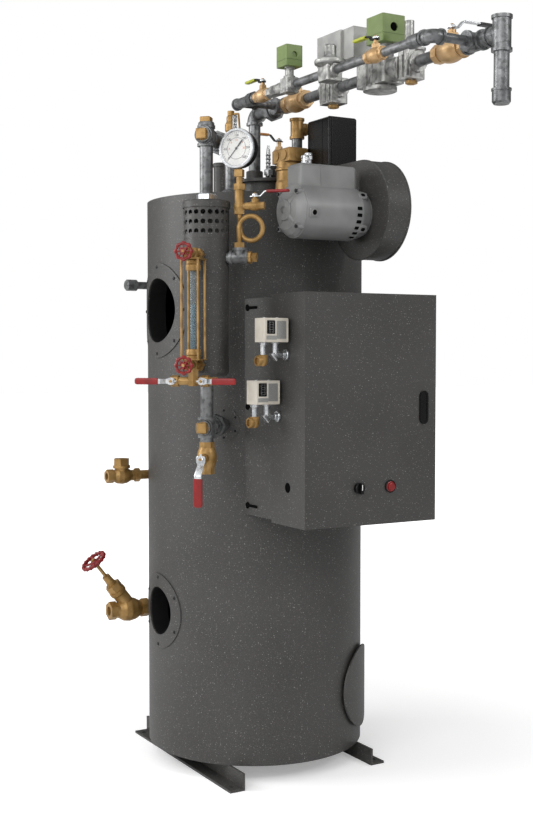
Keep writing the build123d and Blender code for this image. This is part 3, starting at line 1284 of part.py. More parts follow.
def gas_pieces():
    """The main and pilot gas lines with their cocks, valves, levers and drip leg."""
    boss = Vector(0, 0, burner_lid_z + BURNER_BOSS_TALL)
    corner = Vector(0, 0, gas_z)
    rise = rod(boss, corner - UP * ELBOW_REACH, PIPE_RADIUS)
    bend = elbow(corner, DOWN, FRONT, FITTING_RADIUS + 1, ELBOW_REACH)
    nipple = rod(corner + FRONT * ELBOW_REACH, (0, union_y, gas_z), PIPE_RADIUS)
    parts["burner_pipe"] = [
        join([rise, bend, nipple]),
        union((0, union_y, gas_z), FRONT, GAS_UNION_LENGTH, GAS_UNION_WIDTH),
    ]
    parts["main_gas_pipes"] = [
        junction((0, first_tee_y, gas_z), (FRONT, BACK, LEFT), FITTING_RADIUS, FITTING_REACH),
        rod((0, first_pipe_y, gas_z), (0, first_valve_y, gas_z), GAS_PIPE_RADIUS),
        rod((0, second_pipe_y, gas_z), (0, main_valve_y, gas_z), GAS_PIPE_RADIUS),
        rod((0, third_pipe_y, gas_z), (0, second_cock_y, gas_z), GAS_PIPE_RADIUS),
    ]
    first_valve = cast_valve(first_valve_y, FIRST_VALVE_LENGTH, FIRST_VALVE_WIDTH, -38, 26)
    bonnet = Vector(0, first_valve_y - FIRST_VALVE_LENGTH / 2, gas_z)
    first_valve = first_valve + rod(bonnet, bonnet + UP * ACTUATOR_RISE, FIRST_BONNET)
    second_valve = cast_valve(second_valve_y, SECOND_VALVE_LENGTH, SECOND_VALVE_WIDTH, -38, 36)
    vent = Vector(0, second_valve_y - 22, gas_z + 30)
    second_valve = second_valve + rod(vent, vent + UP * (VENT_STUB_TALL + 6), VENT_STUB_RADIUS)
    parts["gas_valve_bodies"] = [first_valve, main_valve(), second_valve]
    parts["valve_actuator"] = [valve_actuator()]
    parts["inlet_tee"] = [inlet_tee()]
    pilot_body, pilot_seat = pilot_valve()
    parts["pilot_valves"] = [pilot_body, regulator()]
    green_seat = Vector(0, green_box_y, gas_z + ACTUATOR_SEAT)
    parts["green_actuators"] = [
        green_box(green_seat, GREEN_BOX, GREEN_BOX + 4, GREEN_TALL),
        green_box(pilot_seat, PILOT_BOX - 2, PILOT_BOX + 2, PILOT_BOX + 2),
    ]
    parts["pilot_pipes"] = pilot_run()
    cocks = []
    large = (GAS_COCK_LENGTH, GAS_COCK_RADIUS, GAS_COCK_STEM, LONG_LEVER, RIGHT)
    small = (PILOT_COCK_LENGTH, PILOT_COCK_RADIUS, PILOT_COCK_STEM, PILOT_LEVER, BACK)
    for name, x, start_y, kind in (
        ("first_gas_lever", 0, first_cock_y, large),
        ("second_gas_lever", 0, second_cock_y, large),
        ("first_pilot_lever", pilot_x, pilot_cock_y, small),
        ("second_pilot_lever", pilot_x, second_pilot_y, small),
    ):
        length, radius, stem, handle, way = kind
        start = Vector(x, start_y, gas_z)
        cocks.append(ball_cock(start, start + FRONT * length, radius, UP, stem, radius * 0.4))
        parts[name] = [lever(start + FRONT * (length / 2) + UP * stem, UP, way, handle)]
    top_body, top_hub = top_cock()
    parts["gas_cocks"] = cocks + [top_body]
    parts["top_lever"] = [lever(top_hub, UP, LEFT, TOP_LEVER)]


def top_pieces():
    """What stands on the top plate: burner, igniter, steam outlet, probe, safety valve and blower."""
    burner = burner_housing()
    igniter = Vector(BURNER_X, BURNER_Y, burner_lid_z) + Vector(*ELECTRODE_SHIFT, 0)
    probe = Vector(PROBE_X, PROBE_Y, top_z)
    tip = PROBE_RADIUS + 2
    outline = (
        (PROBE_RADIUS, 0), (PROBE_RADIUS, PROBE_TALL - 12), (tip, PROBE_TALL - 11),
        (tip, PROBE_TALL - 2), (tip - 2, PROBE_TALL),
    )
    motor_body = motor()
    parts["burner_housing"] = [burner]
    parts["ignition_electrode"] = [electrode(igniter)]
    parts["steam_fitting"] = [steam_fitting(), steam_tee()]
    parts["safety_valve"] = list(safety_valve())
    parts["rear_probe_cover"] = [spun(probe, UP, outline)]
    parts["blower_housing"] = [blower_housing() - burner]
    parts["blower_motor"] = [motor_body, motor_box(motor_body)]
    parts["ignition_box"] = [ignition_box()]


def side_pieces():
    """The capped stub, the feed check valve and the blowdown valve on the left side."""
    shell = rod((0, 0, base_z), (0, 0, top_z), SHELL_RADIUS)
    wheel = bonnet_root + bonnet_axis * (BONNET_LENGTH + BONNET_STEM + WHEEL_RISE)
    parts["capped_stub"] = [capped_stub() - shell]
    parts["feed_check_valve"] = [feed_valve() - shell]
    parts["blowdown_valve"] = [blowdown_valve() - shell]
    round_wheel = handwheel(wheel, bonnet_axis, WHEEL_RADIUS, WHEEL_RIM, WHEEL_RISE, 5, WHEEL_SPOKES)
    parts["blowdown_wheel"] = [round_wheel]


shell_pieces()
cabinet_pieces()
column_pieces()
gas_pieces()
top_pieces()
side_pieces()
for name, pieces in parts.items():
    solids = [solid for piece in pieces for solid in piece.solids()]
    export_step(Compound(children=solids), "parts/" + name + ".step")
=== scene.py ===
import json
from math import copysign, cos, pi, radians, sin, sqrt, tau

import bmesh
import bpy
from mathutils import Matrix, Vector


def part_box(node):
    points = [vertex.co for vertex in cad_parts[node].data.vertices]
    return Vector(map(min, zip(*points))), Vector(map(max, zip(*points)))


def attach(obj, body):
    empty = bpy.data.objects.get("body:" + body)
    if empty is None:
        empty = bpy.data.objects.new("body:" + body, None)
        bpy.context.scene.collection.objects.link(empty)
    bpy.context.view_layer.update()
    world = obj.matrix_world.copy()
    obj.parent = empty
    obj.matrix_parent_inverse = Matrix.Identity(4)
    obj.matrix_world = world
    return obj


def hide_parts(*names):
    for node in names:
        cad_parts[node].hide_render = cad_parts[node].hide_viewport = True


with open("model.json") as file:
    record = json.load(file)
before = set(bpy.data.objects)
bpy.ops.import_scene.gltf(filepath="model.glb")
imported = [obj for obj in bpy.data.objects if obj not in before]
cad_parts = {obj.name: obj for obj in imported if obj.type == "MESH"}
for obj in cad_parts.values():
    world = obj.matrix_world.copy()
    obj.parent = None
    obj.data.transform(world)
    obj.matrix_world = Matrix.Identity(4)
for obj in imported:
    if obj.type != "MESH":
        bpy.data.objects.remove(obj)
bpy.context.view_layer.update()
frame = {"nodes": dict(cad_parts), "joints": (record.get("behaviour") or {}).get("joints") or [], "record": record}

MM = 0.001

# Camera: where the photograph was taken from, and its lens
CAMERA_PLACE = Vector((-1.7645, -3.1239, 1.1456))
CAMERA_TURN = radians(30)
CAMERA_DIP = radians(2.5)
CAMERA_LENS = 55.2
CAMERA_FILM = 36.0

# Light: soft boxes as (name, place, size, watts), all aimed at the middle of the boiler
AIM = Vector((0, -0.2, 1.0))
SOFT_BOXES = (
    ("key_light", (-3.4, -2.4, 2.8), 2.6, 48),
    ("side_light", (1.6, -4.2, 3.4), 1.0, 46),
    ("rim_light", (-3.2, 1.4, 2.2), 2.0, 62),
)

# Room: its strength towards and away from its bright side
ROOM_LIGHT = 1.0
ROOM_DARK = 0.13
BRIGHT_SIDE = (-0.72, -0.42, 0.55)

# Floor: half its width, and how its own glow rises between two distances from the boiler
FLOOR_HALF = 30.0
FLOOR_GLOW_NEAR = 0.3
FLOOR_GLOW_FAR = 0.75
FLOOR_NEAR = 0.7
FLOOR_FAR = 3.2

# Jacket: the radii where its inside, painted near black as shade, ends and its coated outside starts
SHADE_REACH = 0.3030
COAT_REACH = 0.3042


def linear(colour):
    """An sRGB hex colour as linear light with full opacity."""
    parts = [int(colour[i:i + 2], 16) / 255 for i in (1, 3, 5)]
    return [p / 12.92 if p <= 0.04045 else ((p + 0.055) / 1.055) ** 2.4 for p in parts] + [1.0]


def add_node(tree, kind, inputs=None, **settings):
    """Add one node: settings are its properties, inputs are values or the sockets that feed it."""
    made = tree.nodes.new(kind)
    for name, value in settings.items():
        setattr(made, name, value)
    for name, value in (inputs or {}).items():
        if isinstance(value, bpy.types.NodeSocket):
            tree.links.new(value, made.inputs[name])
        else:
            made.inputs[name].default_value = value
    return made


def new_material(name, colour, metallic, roughness, coat=0.0):
    """A Principled material, with its tree and shader."""
    material = bpy.data.materials.new(name)
    material.use_nodes = True
    tree = material.node_tree
    shader = tree.nodes["Principled BSDF"]
    shader.inputs["Base Color"].default_value = linear(colour)
    shader.inputs["Metallic"].default_value = metallic
    shader.inputs["Roughness"].default_value = roughness
    shader.inputs["Coat Weight"].default_value = coat
    return material, tree, shader


def grain(tree, size, detail=2.0, stretch=(1, 1, 1)):
    """Noise on object coordinates whose blotches are size millimetres across."""
    place = add_node(tree, "ShaderNodeTexCoord").outputs["Object"]
    scaled = add_node(tree, "ShaderNodeMapping", {"Vector": place, "Scale": stretch}).outputs["Vector"]
    scale = 1 / (size * MM)
    noise = add_node(tree, "ShaderNodeTexNoise", {"Vector": scaled, "Scale": scale, "Detail": detail})
    return noise.outputs["Fac"]


def between(tree, source, low, high, start=0.35, end=0.65):
    """Map a 0 to 1 pattern onto a range of values."""
    inputs = {"Value": source, "From Min": start, "From Max": end, "To Min": low, "To Max": high}
    return add_node(tree, "ShaderNodeMapRange", inputs).outputs["Result"]


def mixed(tree, amount, first, second):
    """Two colours, or a colour socket and a colour, mixed by a socket."""
    def as_colour(value):
        return linear(value) if isinstance(value, str) else value
    inputs = {0: amount, 6: as_colour(first), 7: as_colour(second)}
    return add_node(tree, "ShaderNodeMix", inputs, data_type="RGBA").outputs[2]


def shades(tree, source, dark, light, start=0.35, end=0.65):
    """Two colours mixed by a pattern."""
    return mixed(tree, between(tree, source, 0, 1, start, end), dark, light)


def relief(tree, shader, source, depth, strength=1.0):
    """Bump of a real depth in millimetres."""
    inputs = {"Height": source, "Distance": depth * MM, "Strength": strength}
    bump = add_node(tree, "ShaderNodeBump", inputs)
    tree.links.new(bump.outputs["Normal"], shader.inputs["Normal"])


def surface(name, dark, light, rough, blotch, grit, depth, metallic=0.0, coat=0.0):
    """A finish with soft colour blotches, uneven gloss and fine relief, sizes in millimetres.

    Real grit is often finer than half a millimetre. It is drawn as coarse as it needs to show.
    """
    material, tree, shader = new_material(name, dark, metallic, rough[0], coat)
    cloud = grain(tree, blotch)
    fine = grain(tree, grit, detail=3.0)
    tree.links.new(shades(tree, cloud, dark, light), shader.inputs["Base Color"])
    tree.links.new(between(tree, fine, rough[0], rough[1]), shader.inputs["Roughness"])
    relief(tree, shader, fine, depth)
    return material


def powder_coat(name, shade_inside=False):
    """Textured polyester powder on sheet steel: matt charcoal with fine pale specks.

    The real specks are under a millimetre across, and are drawn larger so that they show.
    """
    material, tree, shader = new_material(name, "#3a3938", metallic=0.0, roughness=0.55)
    cloud = grain(tree, 260)
    specks = grain(tree, 2.8, detail=0.0)
    fine = grain(tree, 1.5)
    base = shades(tree, cloud, "#2d2c2b", "#353433")
    dusted = mixed(tree, between(tree, fine, 0, 0.5, start=0.5, end=0.66), base, "#5c5b58")
    speckled = mixed(tree, between(tree, specks, 0, 0.6, start=0.74, end=0.8), dusted, "#9a9992")
    # Painted shade: the jacket's inside face is drawn near black
    if shade_inside:
        place = add_node(tree, "ShaderNodeTexCoord").outputs["Object"]
        level = add_node(tree, "ShaderNodeVectorMath", {0: place, 1: (1, 1, 0)}, operation="MULTIPLY")
        reach = add_node(tree, "ShaderNodeVectorMath", {0: level.outputs[0]}, operation="LENGTH")
        inside = between(tree, reach.outputs["Value"], 1, 0, start=SHADE_REACH, end=COAT_REACH)
        speckled = mixed(tree, inside, speckled, "#0a0a0a")
    tree.links.new(speckled, shader.inputs["Base Color"])
    tree.links.new(between(tree, fine, 0.4, 0.58), shader.inputs["Roughness"])
    relief(tree, shader, fine, depth=0.2, strength=0.5)
    return material


def mottled(material, size, dark, amount):
    """Darker stains, size millimetres across, over a finish that surface made."""
    tree = material.node_tree
    shader = tree.nodes["Principled BSDF"]
    under = shader.inputs["Base Color"].links[0].from_socket
    stain = between(tree, grain(tree, size, detail=5.0), 0, amount, start=0.5, end=0.62)
    tree.links.new(mixed(tree, stain, under, dark), shader.inputs["Base Color"])
    return material


def steel_pipe():
    """Drawn steel pipe with a thin grey coat: mid grey, stained by handling."""
    material = surface("steel_pipe", "#5c5d5e", "#858687",
                       metallic=0.6, rough=(0.3, 0.46), blotch=40, grit=2.4, depth=0.16)
    return mottled(material, size=11, dark="#353636", amount=0.55)


def cast_aluminium():
    """Die cast aluminium valve bodies: pale grey with a pebbled, stained skin."""
    material = surface("cast_aluminium", "#868684", "#b4b4b1",
                       metallic=0.7, rough=(0.34, 0.5), blotch=24, grit=3.4, depth=0.45)
    return mottled(material, size=14, dark="#4f4f4e", amount=0.6)


def dulled(material, level):
    """Less shine than bare plastic, for blacks that have to stay deep."""
    material.node_tree.nodes["Principled BSDF"].inputs["Specular IOR Level"].default_value = level
    return material


def gloss_black():
    """Gloss black enamel and moulded plastic: deep black with a soft shine."""
    return dulled(surface("gloss_black", "#060606", "#0c0c0d",
                          rough=(0.22, 0.34), blotch=60, grit=3.0, depth=0.04), level=0.22)


def dipped_vinyl(name, dark, light):
    """A dip coated vinyl grip: thick and soft, with an even half gloss."""
    return surface(name, dark, light, rough=(0.36, 0.46), blotch=22, grit=1.6, depth=0.08)


def clear(name, dark, light, opacity):
    """Clear glass or water: a thin tint that shows what is behind it, with a sharp shine."""
    material = surface(name, dark, light, rough=(0.03, 0.08), blotch=30, grit=6.0, depth=0.02)
    material.node_tree.nodes["Principled BSDF"].inputs["Alpha"].default_value = opacity
    return material


def printed_ink(name, dark, light):
    """Screen printed ink: flat and dense."""
    return surface(name, dark, light, rough=(0.5, 0.6), blotch=6, grit=0.8, depth=0.01)


def matt_hole_shade():
    """Painted shade: soft black standing for the dark inside of a vent, hole or window, that gives no shine; the
    cabinet's plug is this black too.
    """
    return dulled(surface("matt_hole_shade", "#030303", "#070707",
                          rough=(0.85, 0.95), blotch=20, grit=2.0, depth=0.02), level=0.05)


def brushed_panel():
    """Bare metal panels on the control covers: grey, brushed one way."""
    material, tree, shader = new_material("brushed_panel", "#8f8f8d", metallic=0.4, roughness=0.4)
    lines = grain(tree, 3.0, stretch=(1, 1, 12))
    tree.links.new(shades(tree, lines, "#7d7d7b", "#a3a3a0"), shader.inputs["Base Color"])
    tree.links.new(between(tree, lines, 0.34, 0.5), shader.inputs["Roughness"])
    relief(tree, shader, lines, depth=0.03)
    return material


# Every finish, by the record's slot or by this file's own name for it
FINISHES = {
    "powder_coat": powder_coat("powder_coat"),
    # The casing's inside face is drawn near black as painted shade
    "casing_coat": powder_coat("casing_coat", shade_inside=True),
    # Steel inside the flue way, dulled by soot and drawn nearly black as painted shade, with grey bloom
    "dark_lining": surface("sooted_and_shaded_steel", "#151413", "#2b2927",
                           metallic=0.2, rough=(0.7, 0.9), blotch=60, grit=3.0, depth=0.4),
    # Sand cast and turned brass: warm yellow brown, satin, in soft patches
    "brass": surface("cast_brass", "#876838", "#a68450",
                     metallic=0.5, rough=(0.34, 0.5), blotch=24, grit=1.4, depth=0.12),
    # Hot forged brass cocks: paler and smoother than the castings
    "gas_brass": surface("forged_brass", "#ac8a5e", "#c6a67c",
                         metallic=0.5, rough=(0.32, 0.46), blotch=30, grit=1.2, depth=0.06),
    "pipe_steel": steel_pipe(),
    "cast_aluminium": cast_aluminium(),
    # Bright zinc on turned and pressed steel: cool silver with a soft shine
    "plated_steel": surface("zinc_plate", "#b9bcbf", "#dadcde",
                            metallic=0.95, rough=(0.2, 0.34), blotch=18, grit=1.0, depth=0.04),
    # Olive enamel on the coil covers: even, with a light orange peel
    "green_paint": surface("green_enamel", "#5d7038", "#6d7f46",
                           rough=(0.38, 0.5), blotch=50, grit=2.4, depth=0.1),
    # Smooth grey enamel on the motor's rolled shell and cast ends
    "motor_grey": surface("motor_enamel", "#6c6d6c", "#7b7c7b",
                          rough=(0.32, 0.42), blotch=70, grit=2.6, depth=0.08, coat=0.1),
    # Pale grey enamel on the main valve's actuator: even and half matt
    "pale_enamel": surface("pale_enamel", "#8f8f8d", "#a3a3a0",
                           metallic=0.1, rough=(0.4, 0.52), blotch=40, grit=1.6, depth=0.08),
    "black_plastic": gloss_black(),
    "gauge_black": gloss_black(),
    # Moulded covers of the pressure controls: warm off white with a fine spark texture
    "beige_plastic": surface("beige_moulding", "#bdb6aa", "#cac4b9",
                             rough=(0.4, 0.52), blotch=40, grit=0.9, depth=0.05),
    # Red enamel on cast wheels: deep red with a soft shine
    "red_plastic": surface("wheel_enamel", "#6c0204", "#7e0407",
                           rough=(0.28, 0.4), blotch=14, grit=1.4, depth=0.1, coat=0.05),
    "red_vinyl": dipped_vinyl("red_vinyl", "#740205", "#860508"),
    "black_vinyl": dipped_vinyl("black_vinyl", "#131313", "#1e1e1e"),
    "yellow_green_plastic": dipped_vinyl("yellow_green_vinyl", "#98a026", "#acb236"),
    "orange_plastic": dipped_vinyl("ochre_vinyl", "#a96c2b", "#bd7f3a"),
    "sight_glass": clear("sight_glass", "#6f797c", "#848e91", opacity=0.24),
    "water": clear("gauge_water", "#3a6678", "#4f7f92", opacity=0.66),
    "lens": clear("gauge_lens", "#e8ecee", "#f4f6f7", opacity=0.07),
    # Baked white enamel on the gauge's dial: clean, with a very faint warm cloud
    "dial": surface("dial_enamel", "#cfcecb", "#dcdbd8",
                    rough=(0.35, 0.45), blotch=25, grit=2.0, depth=0.01),
    "black_ink": printed_ink("black_ink", "#161616", "#232323"),
    "orange_ink": printed_ink("orange_ink", "#c8691f", "#d97c30"),
    "white_ink": printed_ink("white_ink", "#dcdcda", "#efefed"),
    # Painted shade for holes and vents, and the plug's own black
    "hole_shade_and_plug_black": matt_hole_shade(),
    # Blackened steel straps and screws: dark with a thin oily shine
    "black_steel": surface("black_steel", "#1b1b1c", "#2b2b2c",
                           metallic=0.6, rough=(0.3, 0.45), blotch=12, grit=1.0, depth=0.05),
    "panel": brushed_panel(),
}

# Nodes whose finish here isn't the one that their slot names
OWN_FINISH = {"outer_casing": "casing_coat", "valve_actuator": "pale_enamel"}
slots = {part["node"]: part["material_slot"] for part in frame["record"]["subparts"]}
for name, node in frame["nodes"].items():
    node.data.materials.clear()
    node.data.materials.append(FINISHES[OWN_FINISH.get(name, slots[name])])

# Directions: out is the way that the water column stands from the shell's axis
RIGHT = Vector((1, 0, 0))
LEFT = -RIGHT
BACK = Vector((0, 1, 0))
FRONT = -BACK
UP = Vector((0, 0, 1))
DOWN = -UP
OUT = Vector((-1, -1, 0)).normalized()
ACROSS = Vector((1, -1, 0)).normalized()
# Edges that turn by more than this stay sharp
SHARP = radians(32)

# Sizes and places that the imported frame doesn't state by itself, in millimetres
SHELL = 305.0
RING_STEEL = 3.0
COLUMN_STEEL = 2.0
# Screwed rings: height, radius of the screws' circle, number of screws
LEFT_RINGS = ((1262, 118, 8), (433, 93, 6))
COLUMN_RING = (958, 36, 6)

# Water column: how far out it stands, its tees, and the share of the glass that water fills
COLUMN_OUT = 451.0
UPPER_TEE_Z = 1687
LOWER_TEE_Z = 958
TEE_REACH = 26
COVER_TOP = 1525.5
WATER_SHARE = 0.54
# How far the gland nuts' backs stand past the ends of the glass: below it, then above it
GLAND_BACKS = (19, 10)

# Gas line: its height, and the x of the pilot branch beside the main line at x = 0
GAS_Z = 1819.0
PILOT_X = -120.0
# Gas cocks: x, where the body starts, its length, its radius, the stem's height
COCKS = (
    (0, -178, 106, 28, 48),
    (0, -840, 106, 28, 48),
    (PILOT_X, -222, 68, 18, 34),
    (PILOT_X, -736, 68, 18, 34),
)
# Middles of the cast valves and of the round diaphragm body along the line
CAST_MIDDLES = (-411, -743)
DIAPHRAGM_Y = -617
# A cast valve's reach down and sideways from the line, and the diaphragm body's radius and ribs
CAST_UNDER = 38
CAST_SIDE = 27.5
DIAPHRAGM_RADIUS = 31
DIAPHRAGM_RIBS = 10
COIL_ENTRY = (0, -674, 1920.2)

# On the boiler's top
TOP_COCK = (116, 60, 1641)
STEAM_TEE = (45, -158, 1762)
STEAM_HEAD_TOP = 1705.2
SAFETY_LEVER = (-165, -186, 1755)
IGNITION_CORNER = (62, -298, 1645)
IGNITION_TALL = 131

# Gauge: its place in line with the column, how far it is turned, its face and its dial
GAUGE_PLACE = (COLUMN_OUT, 86.0, 1651.5)
GAUGE_TURN = radians(30)
GAUGE_FACE = 17.0
DIAL_RADIUS = 43.0
DIAL_SWEEP = radians(135)
DIAL_MARKS = 30
DIAL_NUMERALS = 6
# Radii of the marks at the numerals, and of the others
DIAL_AT_NUMERAL = 38.6
DIAL_BETWEEN = 39.6

# Blower motor: the middle of its left end, and its radius
MOTOR_LEFT = Vector((-155, -430, 1502))
MOTOR_RADIUS = 69.0
# What is on its side: how far along it, and how many degrees below the front
MOTOR_VENTS = (178, range(-6, 78, 14))
MOTOR_EARS = (196, (-38, 38))
MOTOR_BOSS = (42, 8)
MOTOR_BOLT_CIRCLE = 62
MOTOR_BOLT_ENDS = (6, 187)
MOTOR_SEAM = (-72, -430, 1589)
MOTOR_BOX_TOP = 1616
# Cable connectors on the motor's box: x, y, height
CONNECTORS = ((-104, -440, 24), (-84, -424, 34))

# Cabinet: the x of its left side, what is on that side, and the keyholes as (height, length)
CABINET_LEFT = -174
CABINET_PLUG = (CABINET_LEFT, -474, 811)
KEYHOLE_Y = -268
KEYHOLES = ((1263.5, 51), (1005.5, 28), (746, 52))

# Pressure controls: name, middle y and underside; then their left side, size and pipes
CONTROLS = (("upper_control", -466.5, 1172), ("lower_control", -425.5, 1018))
CONTROL_LEFT = -250
CONTROL_WIDE = 68
CONTROL_TALL = 59
CONTROL_DEEP = 49
CONTROL_NIPPLE_X = -236
CONTROL_CONDUIT_X = -208
ADJUSTERS_X = (-236, -200)


def spot(out, across, height):
    """A point in line with the water column: out from the shell's axis, across it, and its height."""
    return OUT * out + ACROSS * across + UP * height


def placed(point, up, side=None):
    """A frame in millimetres at a point, its Z along up and its X towards side."""
    z = Vector(up).normalized()
    x = Vector(side) if side is not None else z.orthogonal()
    x = (x - z * x.dot(z)).normalized()
    turn = Matrix((x, z.cross(x), z)).transposed().to_4x4()
    return Matrix.Translation(Vector(point)) @ turn


def moved(place, x=0.0, y=0.0, z=0.0):
    """A frame shifted along its own axes."""
    return place @ Matrix.Translation((x, y, z))


def polygon(count, across_flats):
    """A regular polygon, given by the width across its flats."""
    radius = across_flats / 2 / cos(pi / count)
    turns = [tau * (step + 0.5) / count for step in range(count)]
    return [(radius * cos(turn), radius * sin(turn)) for turn in turns]


def rounded(width, length, corner, steps=5):
    """A rectangle with round corners, in order round its edge."""
    points = []
    for side, (sx, sy) in enumerate(((1, 1), (-1, 1), (-1, -1), (1, -1))):
        for step in range(steps + 1):
            turn = pi / 2 * (side + step / steps)
            x = sx * (width / 2 - corner) + corner * cos(turn)
            points.append((x, sy * (length / 2 - corner) + corner * sin(turn)))
    return points


def soft_outline(squareness, count=16):
    """A unit outline between a circle and a square, for grips."""
    points = []
    for step in range(count):
        turn = tau * (step + 0.5) / count
        c = cos(turn)
        s = sin(turn)
        points.append((copysign(abs(c) ** squareness, c), copysign(abs(s) ** squareness, s)))
    return points


# A flat strap's section with its corners cut, and a grip's section, both one unit to each side
STRAP_OUTLINE = [
    (1, 0.55), (0.88, 1), (-0.88, 1), (-1, 0.55),
    (-1, -0.55), (-0.88, -1), (0.88, -1), (1, -0.55),
]
GRIP_OUTLINE = soft_outline(0.5)


class Shape:
    """A mesh built up in millimetres from skinned loops, then made one piece of the scene."""

    def __init__(self):
        self.mesh = bmesh.new()

    def skin(self, place, loops, ring=False):
        """Join loops of points in order, and close the ends unless the loops form a ring."""
        made = [[self.mesh.verts.new(place @ Vector(point)) for point in loop] for loop in loops]
        pairs = list(zip(made, made[1:]))
        if ring:
            pairs.append((made[-1], made[0]))
        for first, second in pairs:
            count = max(len(first), len(second))
            for step in range(count):
                after = (step + 1) % count
                corners = []
                for loop, at in ((first, step), (first, after), (second, after), (second, step)):
                    vertex = loop[at % len(loop)]
                    if vertex not in corners:
                        corners.append(vertex)
                self.mesh.faces.new(corners)
        if not ring:
            for loop in (made[0], made[-1]):
                if len(loop) > 2:
                    self.mesh.faces.new(loop)
        return self

    def lathe(self, place, outline, sides):
        """Turn (radius, height) points round the frame's Z axis."""
        loops = []
        for radius, height in outline:
            if radius <= 0:
                loops.append([(0, 0, height)])
                continue
            turns = [tau * step / sides for step in range(sides)]
            loops.append([(radius * cos(t), radius * sin(t), height) for t in turns])
        return self.skin(place, loops)

    def hoop(self, place, section, sides):
        """Turn a closed (radius, height) section round the frame's Z axis, as an open ring."""
        loops = []
        for step in range(sides):
            turn = tau * step / sides
            loops.append([(r * cos(turn), r * sin(turn), h) for r, h in section])
        return self.skin(place, loops, ring=True)

    def rims(self, place, levels):
        """Join flat outlines, each at its height, into a closed frame round an opening."""
        loops = [[(x, y, height) for x, y in outline] for outline, height in levels]
        return self.skin(place, loops, ring=True)

    def prism(self, place, outline, low, high, bevel):
        """Extrude an outline along Z with small bevels on both rims."""
        wide = max(abs(x) for x, y in outline)
        long = max(abs(y) for x, y in outline)
        loops = []
        for height, inset in ((low, bevel), (low + bevel, 0), (high - bevel, 0), (high, bevel)):
            sx = 1 - inset / wide
            sy = 1 - inset / long
            loops.append([(x * sx, y * sy, height) for x, y in outline])
        return self.skin(place, loops)

    def sweep(self, place, stations, outline):
        """Carry an outline along (along, up, half width, half thickness) stations in the XZ plane."""
        loops = []
        for step, (along, up, wide, thick) in enumerate(stations):
            before = stations[max(step - 1, 0)]
            after = stations[min(step + 1, len(stations) - 1)]
            run = Vector((after[0] - before[0], 0, after[1] - before[1])).normalized()
            normal = Vector((-run.z, 0, run.x))
            centre = Vector((along, 0, up))
            loops.append([centre + Vector((0, y * wide, 0)) + normal * (z * thick) for y, z in outline])
        return self.skin(place, loops)

    def words(self, place, text, height):
        """Plain numerals lying on the frame's XY plane, centred on its origin."""
        curve = bpy.data.curves.new("numerals", "FONT")
        curve.body = text
        curve.size = height
        # Strokes a little bolder than the font's own, as on a printed dial
        curve.offset = height * 0.018
        curve.align_x = "CENTER"
        curve.align_y = "CENTER"
        curve.extrude = 0.12
        curve.resolution_u = 3
        holder = bpy.data.objects.new("numerals", curve)
        mesh = bpy.data.meshes.new_from_object(holder)
        mesh.transform(place)
        self.mesh.from_mesh(mesh)
        bpy.data.objects.remove(holder)
        bpy.data.curves.remove(curve)
        bpy.data.meshes.remove(mesh)
        return self

    def to_object(self, name):
        """The finished mesh as an object at the origin, smooth except across sharp edges."""
        bmesh.ops.remove_doubles(self.mesh, verts=self.mesh.verts, dist=0.0005)
        bmesh.ops.recalc_face_normals(self.mesh, faces=self.mesh.faces)
        for edge in self.mesh.edges:
            edge.smooth = len(edge.link_faces) == 2 and edge.calc_face_angle(0) < SHARP
        for face in self.mesh.faces:
            face.smooth = True
        self.mesh.transform(Matrix.Scale(MM, 4))
        mesh = bpy.data.meshes.new(name)
        self.mesh.to_mesh(mesh)
        self.mesh.free()
        return bpy.data.objects.new(name, mesh)

    def piece(self, name, finish, body="boiler", replaces=()):
        """Make the mesh a piece in a finish, on the fixed boiler unless a body is named."""
        on_body(self.to_object(name), body, finish, replaces)


def on_body(item, body, finish, replaces=()):
    """Put an object in the scene on a body, in a finish, and for the nodes that it stands for."""
    item.data.materials.clear()
    item.data.materials.append(FINISHES[finish])
    bpy.context.scene.collection.objects.link(item)
    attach(item, body)
    if replaces:
        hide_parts(*replaces)


def repeat_tree():
    """Geometry Nodes: one copy of a small item at each point, turned as the point says."""
    tree = bpy.data.node_groups.new("repeat_item", "GeometryNodeTree")
    tree.interface.new_socket("Geometry", in_out="INPUT", socket_type="NodeSocketGeometry")
    tree.interface.new_socket("Item", in_out="INPUT", socket_type="NodeSocketObject")
    tree.interface.new_socket("Finish", in_out="INPUT", socket_type="NodeSocketMaterial")
    tree.interface.new_socket("Geometry", in_out="OUTPUT", socket_type="NodeSocketGeometry")
    given = tree.nodes.new("NodeGroupInput").outputs
    item = add_node(tree, "GeometryNodeObjectInfo", {"Object": given["Item"]})
    turn = add_node(tree, "GeometryNodeInputNamedAttribute", {"Name": "turn"}, data_type="QUATERNION")
    points = add_node(tree, "GeometryNodeMeshToPoints", {"Mesh": given["Geometry"]})
    spread = add_node(tree, "GeometryNodeInstanceOnPoints", {
        "Points": points.outputs[0],
        "Instance": item.outputs["Geometry"],
        "Rotation": turn.outputs["Attribute"],
    })
    real = add_node(tree, "GeometryNodeRealizeInstances", {"Geometry": spread.outputs[0]})
    coated = {"Geometry": real.outputs[0], "Material": given["Finish"]}
    done = add_node(tree, "GeometryNodeSetMaterial", coated)
    last = tree.nodes.new("NodeGroupOutput")
    tree.links.new(done.outputs[0], last.inputs[0])
    return tree


REPEAT = repeat_tree()


